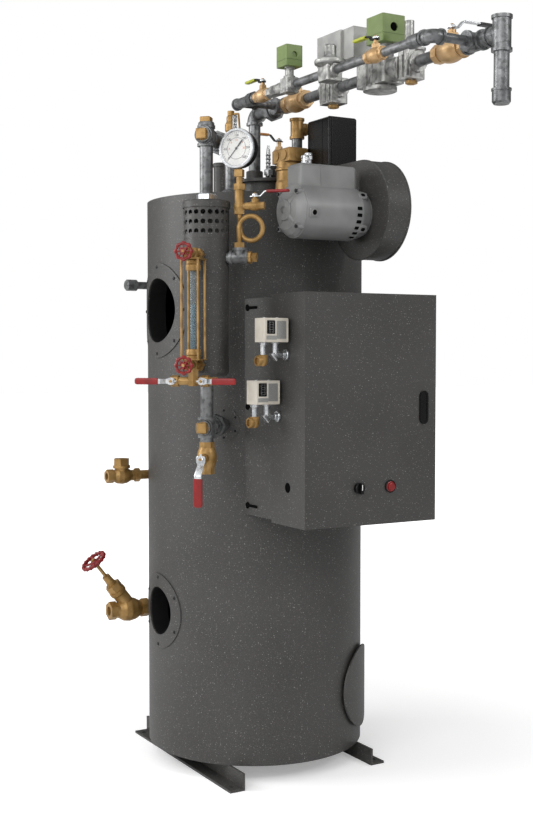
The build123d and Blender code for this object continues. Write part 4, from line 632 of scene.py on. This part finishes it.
def repeat(name, finish, shape, places):
    """Copies of one small shape at each place on the fixed boiler, as one plain mesh."""
    item = shape.to_object(name + "_item")
    bpy.context.scene.collection.objects.link(item)
    mesh = bpy.data.meshes.new(name)
    mesh.from_pydata([place.to_translation() * MM for place in places], [], [])
    turns = mesh.attributes.new("turn", "QUATERNION", "POINT")
    for entry, place in zip(turns.data, places):
        entry.value = place.to_quaternion()
    holder = bpy.data.objects.new(name + "_points", mesh)
    bpy.context.scene.collection.objects.link(holder)
    modifier = holder.modifiers.new("repeat", "NODES")
    modifier.node_group = REPEAT
    sockets = {s.name: s.identifier for s in REPEAT.interface.items_tree if s.in_out == "INPUT"}
    modifier[sockets["Item"]] = item
    modifier[sockets["Finish"]] = FINISHES[finish]
    graph = bpy.context.evaluated_depsgraph_get()
    made = bpy.data.meshes.new_from_object(holder.evaluated_get(graph))
    made.name = name
    holder.modifiers.remove(modifier)
    bpy.data.objects.remove(holder)
    bpy.data.objects.remove(item)
    on_body(bpy.data.objects.new(name, made), "boiler", finish)


def pan_head(radius, tall):
    """A domed screw head with a washer face."""
    dome = ((0, 1), (0.5, 0.94), (0.85, 0.6), (1, 0.15))
    outline = [(radius * out, tall * up) for out, up in dome]
    return Shape().lathe(Matrix(), outline + [(radius, -0.6), (0, -0.6)], 16)


def shell_places(way, height, reach, count, start, radius=SHELL + RING_STEEL):
    """Places round a ring on the round shell, from a start in degrees, facing straight out of it."""
    side = UP.cross(way)
    places = []
    for step in range(count):
        turn = radians(start) + tau * step / count
        across = reach * cos(turn)
        out = way * sqrt(radius ** 2 - across ** 2) + side * across
        places.append(placed(out + UP * (height + reach * sin(turn)), out))
    return places


def shell_screws():
    """The screws that hold the rings and covers to the jacket."""
    places = []
    for ring in LEFT_RINGS:
        places += shell_places(LEFT, *ring, 90)
    repeat("ring_screws", "black_steel", pan_head(4.6, 2.6), places)
    column = shell_places(OUT, *COLUMN_RING, 30, SHELL + COLUMN_STEEL)
    repeat("column_ring_screws", "black_steel", pan_head(3.2, 2.0), column)


# Levers: body, arm at rest, (reach, rise, width), strap finish, grip finish, where the grip starts
LEVERS = (
    ("column_blowdown_lever", DOWN, (118, 24, 21), "plated_steel", "red_vinyl", 0.39),
    ("left_drain_lever", -ACROSS, (90, 12, 13.5), "plated_steel", "red_vinyl", 0.33),
    ("right_drain_lever", ACROSS, (90, 12, 13.5), "plated_steel", "red_vinyl", 0.33),
    ("test_lever", ACROSS, (88, 12, 12), "plated_steel", "red_vinyl", 0.34),
    ("first_gas_lever", RIGHT, (128, 18, 17), "plated_steel", "black_vinyl", 0.6),
    ("second_gas_lever", RIGHT, (128, 18, 17), "plated_steel", "black_vinyl", 0.6),
    ("first_pilot_lever", BACK, (88, 12, 12), "black_steel", "yellow_green_plastic", 0.42),
    ("second_pilot_lever", BACK, (88, 12, 12), "black_steel", "yellow_green_plastic", 0.42),
    ("top_lever", LEFT, (78, 16, 12), "black_steel", "orange_plastic", 0.45),
)
# Half thicknesses of a strap and its grip, and how many ribs the grip has
STRAP_HALF = 1.5
GRIP_HALF = 3.7
GRIP_RIBS = 7
JOINTS = {joint["child"]: joint for joint in frame["joints"]}


def joint_place(body, side):
    """The frame in millimetres at a body's joint: Z along the joint's axis, X towards side."""
    joint = JOINTS[body]
    return placed(Vector(joint["pos_m"]) / MM, joint["axis"], side)


def make_lever(body, arm, size, strap_finish, grip_finish, grip_at):
    """A bent strap with a waist, its dipped grip, and the nut that holds it to the stem."""
    reach, rise, width = size
    place = joint_place(body, arm)
    half = width / 2
    start = reach * grip_at
    bend = min(13 + rise, start - 4)
    level = rise + STRAP_HALF
    # The strap as (along, up, half width): the tail, the flat round the stem, the bend and the arm
    run = (
        (-13, STRAP_HALF, half * 0.3), (-8.6, STRAP_HALF, half * 0.34), (-8, STRAP_HALF, half * 0.86),
        (-4, STRAP_HALF, half + 1.6), (6, STRAP_HALF, half + 1.6), (11, STRAP_HALF, half * 0.92),
        (15, 2.2, half * 0.84), (bend, rise + 0.8, half * 0.88), (bend + 4, level, half * 0.9),
        (reach - 6, level, half * 0.8),
    )
    strap = Shape().sweep(place, [(*station, STRAP_HALF) for station in run], STRAP_OUTLINE)
    strap.piece(body + "_strap", strap_finish, body, [body])
    # The grip as (along, share of its width, share of its thickness)
    swells = [(start, 0.78, 0.6), (start + 1.5, 0.96, 0.94)]
    for step in range(GRIP_RIBS):
        at = start + 5 + (reach - start - 14) * step / (GRIP_RIBS - 1)
        swells += [(at, 1, 1), (at + 2.2, 0.965, 0.97)]
    swells += [(reach - 3.5, 0.92, 0.9), (reach - 1, 0.7, 0.6), (reach, 0.4, 0.3)]
    grip = [(along, level, (half + 1.4) * wide, GRIP_HALF * thick) for along, wide, thick in swells]
    Shape().sweep(place, grip, GRIP_OUTLINE).piece(body + "_grip", grip_finish, body)
    nut = Shape().hoop(place, ((3.9, 3), (9, 3), (9, 3.9), (3.9, 3.9)), 24)
    nut.prism(place, polygon(6, 13), 3.8, 8, 0.9)
    nut.piece(body + "_nut", "plated_steel", body)
    end = ((0, 7), (3.6, 7), (3.6, 10), (2.8, 10.8), (0, 10.8))
    Shape().lathe(place, end, 16).piece(body + "_stem", "brass", body)


def lobed_rim(place, steps, section):
    """A closed rim, whose section at each turn is (radius, half width, half height, middle)."""
    sides = 10
    loops = []
    for step in range(steps):
        turn = tau * step / steps
        radius, wide, tall, middle = section(turn)
        loop = []
        for side in range(sides):
            about = tau * side / sides
            reach = radius + wide * cos(about)
            height = middle + tall * sin(about)
            loop.append((reach * cos(turn), reach * sin(turn), height))
        loops.append(loop)
    return Shape().skin(place, loops, ring=True)


def spokes(shape, place, count, run):
    """Arms from the hub to the rim, all along the same stations."""
    for step in range(count):
        arm = place @ Matrix.Rotation(tau * step / count, 4, "Z")
        shape.sweep(arm, run, soft_outline(0.8, 10))


def gauge_wheel(body):
    """A cast wheel with round lobes on its rim and open windows between its spokes."""
    place = joint_place(body, UP)
    lobes = 8

    def section(turn):
        swell = (1 + cos(lobes * turn)) / 2
        tube = 3.1 + 1.5 * swell
        return 18.2 + 1.6 * swell, tube, tube, 19.5

    shape = lobed_rim(place, 64, section)
    spokes(shape, place, lobes, ((6, 20, 2.6, 2.2), (11, 19.6, 1.7, 1.6), (18, 19.5, 2.1, 1.8)))
    shape.prism(place, polygon(3, 13), 15, 24.2, 2.0)
    shape.lathe(place, ((0, 15), (7.5, 15), (8.6, 17), (8.6, 20), (7, 21.6), (0, 22)), 24)
    shape.piece(body + "_rim", "red_plastic", body, [body])
    stem = Shape().lathe(place, ((0, 0), (5.2, 0), (5.2, 15.5), (0, 15.5)), 20)
    stem.prism(place, polygon(4, 7), 23.5, 26, 0.5)
    stem.piece(body + "_stem", "brass", body)


def blowdown_wheel():
    """The big wheel on the blowdown valve: lobed rim, five spokes, nut and stem."""
    body = "blowdown_wheel"
    place = joint_place(body, UP)
    lobes = 16

    def section(turn):
        tube = 4.2 + 1.9 * max(0.0, cos(lobes * turn)) ** 0.5
        return 34.2, tube, tube + 0.8, 0

    shape = lobed_rim(place, 128, section)
    spokes(shape, place, 5, ((6, -4, 6.0, 3.2), (16, -3, 4.6, 2.8), (26, -1, 4.6, 2.8), (33, 0, 6.5, 3.2)))
    shape.lathe(place, ((0, -9), (8, -9), (10.5, -7), (10.5, 0), (8, 2.5), (0, 2.5)), 28)
    shape.piece("blowdown_rim", "red_plastic", body, [body])
    stem = Shape().lathe(place, ((0, -58), (5, -58), (5, -8), (0, -8)), 20)
    stem.prism(place, polygon(6, 11), 2, 6.5, 0.8)
    stem.piece("blowdown_stem", "brass", body)


def gauge_dial():
    """The gauge's rolled bezel, enamel dial, printed scales, needle and lens."""
    facing = Vector((-cos(GAUGE_TURN), -sin(GAUGE_TURN), 0))
    place = placed(spot(*GAUGE_PLACE), facing, UP.cross(facing))
    face = GAUGE_FACE
    section = (
        (42.6, face - 3.6), (42.6, face - 0.6), (43.6, face + 0.5), (45.6, face + 0.9), (48.4, face + 0.5),
        (50.0, face - 1.4), (50.0, face - 7), (49.4, face - 7.4), (49.4, face - 3.6),
    )
    Shape().hoop(place, section, 72).piece("gauge_bezel", "plated_steel")
    floor = face - 4
    dial = ((0, floor), (DIAL_RADIUS, floor), (DIAL_RADIUS, floor + 0.5), (0, floor + 0.5))
    Shape().lathe(place, dial, 64).piece("gauge_dial", "dial")
    ink = floor + 0.5
    marks = []
    for step in range(DIAL_MARKS + 1):
        turn = -DIAL_SWEEP + 2 * DIAL_SWEEP * step / DIAL_MARKS
        radius = DIAL_AT_NUMERAL if step % (DIAL_MARKS // DIAL_NUMERALS) == 0 else DIAL_BETWEEN
        mark = moved(place, radius * sin(turn), radius * cos(turn), ink)
        marks.append(mark @ Matrix.Rotation(-turn, 4, "Z"))
    line = Shape().prism(Matrix(), rounded(0.9, 3.8, 0.2), 0, 0.25, 0.05)
    repeat("dial_marks", "black_ink", line, marks)
    outer = Shape()
    inner = Shape()
    for step in range(DIAL_NUMERALS + 1):
        turn = -DIAL_SWEEP + 2 * DIAL_SWEEP * step / DIAL_NUMERALS
        outer.words(moved(place, 32 * sin(turn), 32 * cos(turn), ink), str(step * 50), 8.2)
        if 0 < step < DIAL_NUMERALS:
            inner.words(moved(place, 21 * sin(turn), 21 * cos(turn), ink), str(step * 4), 7)
    outer.piece("dial_numerals", "black_ink")
    inner.piece("dial_inner_numerals", "orange_ink")
    rings = Shape().hoop(place, ((25.9, ink), (26.8, ink), (26.8, ink + 0.2), (25.9, ink + 0.2)), 64)
    rings.piece("dial_ring", "black_ink")
    aim = radians(90) + DIAL_SWEEP + radians(3)
    run = ((-25, 1.6, 0.3), (-23, 2.2, 0.35), (-9, 1.9, 0.35), (-6, 1.2, 0.35), (0, 1.3, 0.35),
           (30, 0.8, 0.3), (37, 0.3, 0.2))
    stations = [(along, ink + 1.3, wide, thick) for along, wide, thick in run]
    needle = Shape().sweep(place @ Matrix.Rotation(aim, 4, "Z"), stations, STRAP_OUTLINE)
    boss = ((0, 0.4), (3.2, 0.4), (3.2, 1.8), (2.2, 2.2), (0, 2.2))
    needle.lathe(place, [(radius, ink + height) for radius, height in boss], 20)
    needle.piece("gauge_needle", "black_ink")
    edge = DIAL_RADIUS - 0.6
    lens = ((0, face - 1.3), (edge, face - 1.3), (edge, face - 0.5), (0, face - 0.4))
    Shape().lathe(place, lens, 64).piece("gauge_lens", "lens")


def level_glass():
    """The glass tube, the water in it, and the gland nuts at its ends."""
    low, high = [Vector(corner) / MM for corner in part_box("gauge_glass")]
    middle = (low + high) / 2
    place = placed((middle.x, middle.y, low.z), UP, OUT)
    tall = high.z - low.z
    tube = ((8.5, 0), (8.5, tall), (6.6, tall), (6.6, 0))
    Shape().hoop(place, tube, 32).piece("glass_tube", "sight_glass", replaces=["gauge_glass"])
    level = tall * WATER_SHARE
    water = ((0, 0.5), (6.3, 0.5), (6.3, level - 0.6), (5.4, level), (0, level - 0.8))
    Shape().lathe(place, water, 24).piece("glass_water", "water")
    nuts = Shape()
    outline = (
        (9.4, 0), (16, 0), (17.5, 1.5), (17.5, 9), (16.2, 10.5),
        (18.6, 12), (18.6, 22), (16.8, 25.5), (9.4, 26.5),
    )
    below, above = GLAND_BACKS
    upper = moved(place, z=tall + above) @ Matrix.Rotation(pi, 4, "X")
    for end in (moved(place, z=-below), upper):
        nuts.hoop(end, outline, 40)
    nuts.piece("gland_nuts", "brass")


def motor_side(along, degrees, lift):
    """A place on the motor's round side, so many degrees below its front, facing straight out."""
    turn = radians(degrees)
    away = FRONT * cos(turn) + DOWN * sin(turn)
    return placed(MOTOR_LEFT + RIGHT * along + away * (MOTOR_RADIUS + lift), away, RIGHT)


def motor_details():
    """Vents, the tapped boss, bell cap, far ears, bolt heads, and the box's seam and connectors."""
    along, turns = MOTOR_VENTS
    vents = [motor_side(along, degrees, -0.5) for degrees in turns]
    inner = rounded(15, 9, 2)
    outer = rounded(17.4, 11.4, 3)
    # Each vent is a dark slab just under its lip: painted shade for the opening
    vent = Shape().prism(Matrix(), inner, 0, 0.9, 0.2)
    repeat("motor_vents", "hole_shade_and_plug_black", vent, vents)
    lip = Shape().rims(Matrix(), ((outer, 0), (outer, 0.9), (inner, 1.1), (inner, 0)))
    repeat("motor_vent_lips", "motor_grey", lip, vents)
    boss = motor_side(*MOTOR_BOSS, -2)
    pad = Shape().prism(boss, rounded(26, 24, 5), 0, 4.5, 1.2)
    pad.hoop(boss, ((6.4, 3), (9.5, 3), (9.5, 6), (8.8, 6.8), (6.9, 6.8), (6.4, 6)), 28)
    pad.piece("motor_boss", "motor_grey")
    # The tapped hole as a dark disc: painted shade
    hole = ((0, 4), (6.5, 4), (6.5, 5.4), (0, 5.4))
    Shape().lathe(boss, hole, 24).piece("motor_boss_hole", "hole_shade_and_plug_black")
    bell = placed(MOTOR_LEFT, LEFT, FRONT)
    disc = ((0, -2), (26, -2), (27, 1), (25, 4), (11, 5), (9.5, 6), (9.5, 2), (0, 2))
    cap = Shape().lathe(bell, disc, 40)
    quarters = [radians(45 + 90 * step) for step in range(4)]
    for turn in quarters:
        arm = bell @ Matrix.Rotation(turn, 4, "Z")
        cap.sweep(arm, ((24, 0, 8, 3), (40, -3, 7, 3), (54, -9, 6, 3)), soft_outline(0.7, 12))
    cap.piece("motor_bell_cap", "motor_grey")
    ears = Shape()
    holes = Shape()
    along, turns = MOTOR_EARS
    for degrees in turns:
        ear = motor_side(along, degrees, -3)
        ears.prism(ear, rounded(26, 22, 8), -6, 5, 1.6)
        # Each ear's hole as a dark plate: painted shade
        holes.prism(ear, rounded(12, 10, 4), 4.4, 5.5, 0.3)
    ears.piece("motor_far_ears", "motor_grey")
    holes.piece("motor_ear_holes", "hole_shade_and_plug_black")
    bolts = []
    for turn in quarters:
        away = FRONT * cos(turn) + UP * sin(turn)
        for along in MOTOR_BOLT_ENDS:
            bolts.append(placed(MOTOR_LEFT + away * MOTOR_BOLT_CIRCLE + RIGHT * along, LEFT, FRONT))
    head = Shape().prism(Matrix(), polygon(6, 8), 0, 4, 0.6)
    repeat("motor_bolts", "black_steel", head, bolts)
    outer = rounded(70, 60, 9)
    inner = rounded(66, 56, 8)
    levels = ((outer, 0), (outer, 2.4), (inner, 2.4), (inner, 0))
    seam = Shape().rims(placed(MOTOR_SEAM, RIGHT, FRONT), levels)
    seam.piece("motor_box_seam", "motor_grey")
    steel = Shape()
    for x, y, tall in CONNECTORS:
        base = placed((x, y, MOTOR_BOX_TOP), UP, FRONT)
        outline = ((0, 5), (9, 5), (9, tall - 8), (10.5, tall - 7), (10.5, tall - 2), (8, tall), (0, tall))
        steel.prism(base, polygon(8, 24), 0, 5, 1)
        steel.lathe(base, outline, 24)
        steel.prism(moved(base, 9, 0, tall * 0.6), rounded(6, 10, 1.5), -5, 5, 0.8)
    steel.piece("motor_connectors", "plated_steel")


def control_face(name, middle_y, floor):
    """One pressure control's frame, side ribs, dark scale window, bare panels and adjusters."""
    place = placed((CONTROL_LEFT, middle_y - CONTROL_DEEP / 2, floor), FRONT, RIGHT)
    outer = rounded(CONTROL_WIDE - 2, CONTROL_TALL - 2, 3)
    inner = rounded(CONTROL_WIDE - 7, CONTROL_TALL - 7, 2)
    levels = ((outer, -0.5), (outer, 1.0), (inner, 1.0), (inner, -0.5))
    lip = Shape().rims(moved(place, CONTROL_WIDE / 2, CONTROL_TALL / 2), levels)
    for step in range(5):
        rib = placed((CONTROL_LEFT - 0.2, middle_y - 14 + 7 * step, floor + 30), LEFT, UP)
        lip.prism(rib, rounded(44, 1.6, 0.7), -0.4, 0.6, 0.2)
    lip.piece(name + "_lip", "beige_plastic")
    window = moved(place, 18.5, 36.5)
    pane = Shape().prism(window, rounded(23, 33, 2), -0.2, 0.9, 0.3)
    pane.piece(name + "_window", "black_plastic")
    scale = Shape()
    for step in range(9):
        long = 6 if step % 2 == 0 else 3.6
        inset = (6 - long) / 2
        for x in (-3 - inset, 5 + inset):
            scale.prism(moved(window, x, -12 + 3 * step, 0.9), rounded(long, 0.7, 0.2), 0, 0.2, 0.05)
    scale.piece(name + "_scale", "panel")
    panel = Shape().prism(moved(place, 48, 30), rounded(27, 44, 2), -0.2, 0.6, 0.2)
    panel.prism(moved(place, 20, 11), rounded(29, 10, 1.5), -0.2, 0.6, 0.2)
    panel.piece(name + "_panel", "panel")
    screws = Shape()
    for x in ADJUSTERS_X:
        top = placed((x, middle_y, floor + CONTROL_TALL), UP, FRONT)
        screws.lathe(top, ((0, -0.4), (4.2, -0.4), (4.2, 1.2), (3.4, 2), (0, 2)), 20)
    screws.piece(name + "_adjusters", "plated_steel")


def control_pipes():
    """Under each control: the plated nipple and brass elbow, and the pulling elbow of the conduit."""
    steel = Shape()
    brass = Shape()
    nipple = ((0, 8), (8, 8), (8, 10), (7.2, 11), (7.2, 36), (0, 36))
    elbow = (
        (0, 31), (10.5, 31), (12.4, 32.5), (12.4, 36), (11.8, 38), (12.2, 46), (10, 54), (6, 58.5), (0, 60),
    )
    mouth = (
        (0, -3), (11.5, -2), (11.6, 8), (13.4, 9.6), (13.6, 16), (12.6, 18), (9, 18), (8.6, 13), (0, 13),
    )
    conduit = ((0, 4), (7.8, 4), (7.8, 14), (8.6, 15), (8.6, 19), (7.8, 20), (7.8, 32), (0, 34))
    outlet = ((0, -7), (7.8, -6), (7.8, 20), (8.6, 21), (8.6, 26), (0, 26))
    for name, middle_y, floor in CONTROLS:
        front = middle_y + 8
        back = middle_y - 4
        under = placed((CONTROL_NIPPLE_X, front, floor), DOWN, LEFT)
        steel.prism(under, polygon(6, 19), 0, 8, 0.9)
        steel.lathe(under, nipple, 24)
        brass.lathe(under, elbow, 32)
        brass.lathe(placed((CONTROL_NIPPLE_X, front, floor - 46), LEFT, UP), mouth, 32)
        high = placed((CONTROL_CONDUIT_X, back, floor), DOWN, RIGHT)
        steel.prism(high, polygon(8, 21), 0, 4, 0.8)
        steel.lathe(high, conduit, 24)
        side = placed((CONTROL_CONDUIT_X, back, floor - 31), RIGHT, UP)
        steel.lathe(side, outlet, 24)
        steel.prism(side, polygon(8, 27), 27, 34, 1.2)
        cover = placed((CONTROL_CONDUIT_X - 5, back, floor - 37), LEFT + DOWN, FRONT)
        steel.prism(cover, rounded(15, 24, 3), -3, 2.2, 0.8)
    steel.piece("control_nipples", "plated_steel", replaces=["control_fittings"])
    brass.piece("control_elbows", "brass")


def ball_body(shape, place, length, radius):
    """A ball cock's turned body along Z: octagon ends, a round belly and a collar."""
    flats = radius * 1.5
    shape.prism(place, polygon(8, flats), 0, length * 0.17, 1.2)
    belly = [(0, length * 0.1), (flats * 0.44, length * 0.1)]
    for step in range(17):
        turn = pi * (0.13 + 0.74 * step / 16)
        swell = radius * (0.25 + 0.75 * sin(turn))
        belly.append((swell, length * (0.48 - 0.36 * cos(turn))))
    collar = ((0.72, 0.83), (0.9, 0.845), (0.9, 0.875), (0.7, 0.885))
    belly += [(radius * out, length * along) for out, along in collar]
    shape.lathe(place, belly + [(0, length * 0.885)], 40)
    shape.prism(place, polygon(8, flats * 1.02), length * 0.86, length, 1.2)


def gas_cocks():
    """The smooth forged bodies of the gas line's ball cocks, with their necks and stems."""
    brass = Shape()
    for x, start, length, radius, stem in COCKS:
        ball_body(brass, placed((x, start, GAS_Z), FRONT, UP), length, radius)
        neck = placed((x, start - length / 2, GAS_Z), UP, RIGHT)
        brass.prism(neck, polygon(4, radius * 0.74), radius * 0.7, stem * 0.8, 1.2)
        gland = ((0, 0.78), (radius * 0.34, 0.78), (radius * 0.34, 0.92), (0, 0.95))
        brass.lathe(neck, [(out, stem * up) for out, up in gland], 24)
        brass.lathe(neck, ((0, stem * 0.9), (4.2, stem * 0.9), (4.2, stem), (0, stem)), 16)
    foot = placed(TOP_COCK, UP, RIGHT)
    brass.prism(foot, polygon(6, 30), 0, 12, 1.4)
    brass.lathe(foot, ((0, 11), (11, 11), (11, 60), (0, 60)), 28)
    brass.prism(foot, polygon(8, 31), 59, 74, 1.6)
    dome = ((0, 72), (14, 72), (17.4, 76), (18, 86), (15, 97), (11, 104), (10, 109), (0, 110))
    brass.lathe(foot, dome, 36)
    brass.lathe(foot, ((0, 108), (6.6, 108), (6.6, 123), (0, 123)), 20)
    brass.piece("gas_cock_bodies", "gas_brass", replaces=["gas_cocks"])


def steam_details():
    """The steel nipple between the steam head and its tee, and the tee's side outlet."""
    low = placed((*STEAM_TEE[:2], STEAM_HEAD_TOP), UP)
    nipple = ((14.1, 0), (14.6, 0), (14.6, 29), (14.1, 29))
    Shape().hoop(low, nipple, 36).piece("steam_nipple", "pipe_steel")
    side = placed(STEAM_TEE, RIGHT, UP)
    outlet = (
        (0, 8), (15.5, 8), (15.5, 22), (17.2, 23), (17.2, 29), (15, 30.5), (13, 40), (12.6, 58), (0, 58),
    )
    Shape().lathe(side, outlet, 32).piece("steam_outlet", "brass")


def cabinet_plug():
    """The round plug in the cabinet's left side."""
    place = placed(CABINET_PLUG, LEFT, UP)
    plug = ((0, 1.6), (6, 1.5), (11.5, 0.9), (12.6, 0.2), (12.6, -0.4), (0, -0.4))
    Shape().lathe(place, plug, 32).piece("cabinet_plug", "hole_shade_and_plug_black")


def keyhole_slots():
    """The keyhole slots that hang the bracket plate on its studs, drawn as dark plates of painted shade."""
    slots = Shape()
    for height, long in KEYHOLES:
        head = placed((CABINET_LEFT, KEYHOLE_Y, height), LEFT, FRONT)
        slots.lathe(head, ((0, 0.5), (8.4, 0.5), (8.8, 0.2), (8.8, -0.3), (0, -0.3)), 28)
        slots.prism(moved(head, long / 2), rounded(long, 6.4, 3), -0.3, 0.45, 0.1)
    slots.piece("keyhole_slots", "hole_shade_and_plug_black")


def cover_nut():
    """The plated nut on the probe cover's top, round the column's riser."""
    flats = polygon(6, 46)
    chamfer = [(x * 0.93, y * 0.93) for x, y in flats]
    hole = [(x * 0.72, y * 0.72) for x, y in flats]
    nut = Shape().rims(placed(spot(COLUMN_OUT, 0, COVER_TOP), UP, OUT), (
        (flats, 0), (flats, 15), (chamfer, 17.4), (hole, 17.4), (hole, 0),
    ))
    nut.piece("cover_nut", "plated_steel")


def ignition_ridge():
    """The rolled edge down the ignition box's front corner."""
    place = placed(IGNITION_CORNER, UP, RIGHT)
    ridge = Shape().prism(place, rounded(11, 11, 4), 0, IGNITION_TALL, 1.5)
    ridge.piece("ignition_ridge", "black_plastic")


def green_entry():
    """The cable entry in the main valve's coil cover, drawn as a dark disc of painted shade."""
    hole = ((0, -4.6), (10.5, -4.6), (10.5, -4.0), (0, -4.0))
    Shape().lathe(placed(COIL_ENTRY, FRONT, UP), hole, 28).piece("coil_entry", "hole_shade_and_plug_black")


def valve_trim():
    """The brass plugs under the cast valves, and the ribs of their bodies."""
    plugs = Shape()
    ribs = Shape()
    for middle in CAST_MIDDLES:
        under = placed((0, middle, GAS_Z - CAST_UNDER), DOWN, RIGHT)
        plugs.prism(under, polygon(6, 25), 0.5, 9.5, 1.2)
        plugs.lathe(under, ((0, 9), (6, 9), (5.4, 11), (0, 11.2)), 20)
        for y in (-20, 0, 20):
            side = placed((-CAST_SIDE, middle + y, GAS_Z - 8), LEFT, UP)
            ribs.prism(side, rounded(50, 3.4, 1.4), -4, 2.2, 0.9)
    plugs.piece("cast_plugs", "brass")
    for step in range(DIAPHRAGM_RIBS):
        turn = tau * (step + 0.5) / DIAPHRAGM_RIBS
        away = Vector((cos(turn), sin(turn), 0))
        rib = placed(Vector((0, DIAPHRAGM_Y, GAS_Z - 2)) + away * DIAPHRAGM_RADIUS, away, UP)
        ribs.prism(rib, rounded(56, 4, 1.8), -2, 6.5, 1.2)
    ribs.piece("cast_ribs", "cast_aluminium")


def plug_trim():
    """The grey rims of the column's tees, and the square heads of the brass plugs in them."""
    out = COLUMN_OUT + TEE_REACH
    mouths = (
        (spot(COLUMN_OUT, 0, UPPER_TEE_Z + TEE_REACH), UP),
        (spot(out, 0, UPPER_TEE_Z), OUT),
        (spot(out, 0, LOWER_TEE_Z), OUT),
    )
    rims = Shape()
    heads = Shape()
    for point, way in mouths:
        place = placed(point, way, ACROSS)
        rims.hoop(place, ((15.5, -1), (20.4, -1), (20.4, 5.5), (19, 8.4), (15.5, 8.8)), 40)
        heads.prism(place, polygon(4, 25.5), 7.8, 21.8, 1.6)
    rims.piece("tee_rims", "pipe_steel")
    heads.piece("plug_heads", "brass")


def safety_lever():
    """The plated lifting lever beside the relief valve."""
    place = placed(SAFETY_LEVER, FRONT, RIGHT)
    plate = Shape().prism(place, rounded(13, 42, 3), -1.4, 1.4, 0.5)
    plate.piece("safety_lever", "plated_steel")


def door_details():
    """The selector's white pointer line and the button's dark bezel."""
    knob = JOINTS["selector_knob"]["pos_m"]
    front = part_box("selector_knob")[0][1] / MM
    line = placed((knob[0] / MM, front, knob[2] / MM + 2), FRONT, RIGHT)
    pointer = Shape().prism(line, rounded(2.0, 15, 0.9), -0.4, 0.25, 0.1)
    pointer.piece("selector_line", "white_ink", "selector_knob")
    low, high = [Vector(corner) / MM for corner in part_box("reset_lamp")]
    lamp = placed(((low.x + high.x) / 2, high.y, (low.z + high.z) / 2), FRONT, RIGHT)
    ring = ((13.2, -0.5), (16, -0.5), (16, 3), (15.2, 4.2), (13.8, 4.6), (13.2, 3.8))
    Shape().hoop(lamp, ring, 40).piece("button_ring", "black_plastic", "cabinet_door")


shell_screws()
for row in LEVERS:
    make_lever(*row)
gauge_wheel("upper_gauge_wheel")
gauge_wheel("lower_gauge_wheel")
blowdown_wheel()
gauge_dial()
level_glass()
motor_details()
for row in CONTROLS:
    control_face(*row)
control_pipes()
gas_cocks()
steam_details()
cabinet_plug()
keyhole_slots()
cover_nut()
ignition_ridge()
green_entry()
valve_trim()
plug_trim()
safety_lever()
door_details()


def white_for_camera(tree):
    """1 where the camera looks straight at the background, also through glass."""
    path = add_node(tree, "ShaderNodeLightPath")
    both = {0: path.outputs["Is Camera Ray"], 1: path.outputs["Is Transmission Ray"]}
    return add_node(tree, "ShaderNodeMath", both, operation="MAXIMUM").outputs[0]


def make_room():
    """White surroundings, a white floor that keeps the shadow, and soft boxes."""
    world = bpy.data.worlds.new("studio")
    world.use_nodes = True
    tree = world.node_tree
    background = tree.nodes["Background"]
    way = add_node(tree, "ShaderNodeTexCoord").outputs["Generated"]
    aimed = add_node(tree, "ShaderNodeVectorMath", {0: way, 1: BRIGHT_SIDE}, operation="DOT_PRODUCT")
    shade = between(tree, aimed.outputs["Value"], ROOM_DARK, ROOM_LIGHT, start=-0.5, end=0.9)
    either = {0: shade, 1: white_for_camera(tree)}
    strength = add_node(tree, "ShaderNodeMath", either, operation="MAXIMUM")
    tree.links.new(strength.outputs[0], background.inputs["Strength"])
    background.inputs["Color"].default_value = linear("#ffffff")
    bpy.context.scene.world = world
    material, tree, shader = new_material("studio_floor", "#f4f4f4", metallic=0.0, roughness=0.7)
    shader.inputs["Emission Color"].default_value = linear("#ffffff")
    path = add_node(tree, "ShaderNodeLightPath")
    place = add_node(tree, "ShaderNodeTexCoord").outputs["Object"]
    spread = add_node(tree, "ShaderNodeVectorMath", {0: place}, operation="LENGTH").outputs["Value"]
    lit = between(tree, spread, FLOOR_GLOW_NEAR, FLOOR_GLOW_FAR, start=FLOOR_NEAR, end=FLOOR_FAR)
    seen = {0: lit, 1: path.outputs["Is Camera Ray"]}
    glow = add_node(tree, "ShaderNodeMath", seen, operation="MULTIPLY")
    tree.links.new(glow.outputs[0], shader.inputs["Emission Strength"])
    mesh = bpy.data.meshes.new("studio_floor")
    signs = ((-1, -1), (1, -1), (1, 1), (-1, 1))
    corners = [(x * FLOOR_HALF, y * FLOOR_HALF, 0) for x, y in signs]
    mesh.from_pydata(corners, [], [(0, 1, 2, 3)])
    mesh.materials.append(material)
    floor = bpy.data.objects.new("studio_floor", mesh)
    bpy.context.scene.collection.objects.link(floor)
    for name, place, size, watts in SOFT_BOXES:
        lamp = bpy.data.lights.new(name, "AREA")
        lamp.shape = "SQUARE"
        lamp.size = size
        lamp.energy = watts
        holder = bpy.data.objects.new(name, lamp)
        holder.location = place
        holder.rotation_euler = (AIM - Vector(place)).to_track_quat("-Z", "Y").to_euler()
        bpy.context.scene.collection.objects.link(holder)


def make_camera():
    """The photograph's viewpoint: its place, lens, turn and dip."""
    data = bpy.data.cameras.new("view")
    data.lens = CAMERA_LENS
    data.sensor_width = CAMERA_FILM
    camera = bpy.data.objects.new("view", data)
    level = cos(CAMERA_DIP)
    look = Vector((sin(CAMERA_TURN) * level, cos(CAMERA_TURN) * level, -sin(CAMERA_DIP)))
    camera.location = CAMERA_PLACE
    camera.rotation_euler = look.to_track_quat("-Z", "Y").to_euler()
    bpy.context.scene.collection.objects.link(camera)
    bpy.context.scene.camera = camera


make_room()
make_camera()
bpy.context.scene.view_settings.view_transform = "Standard"
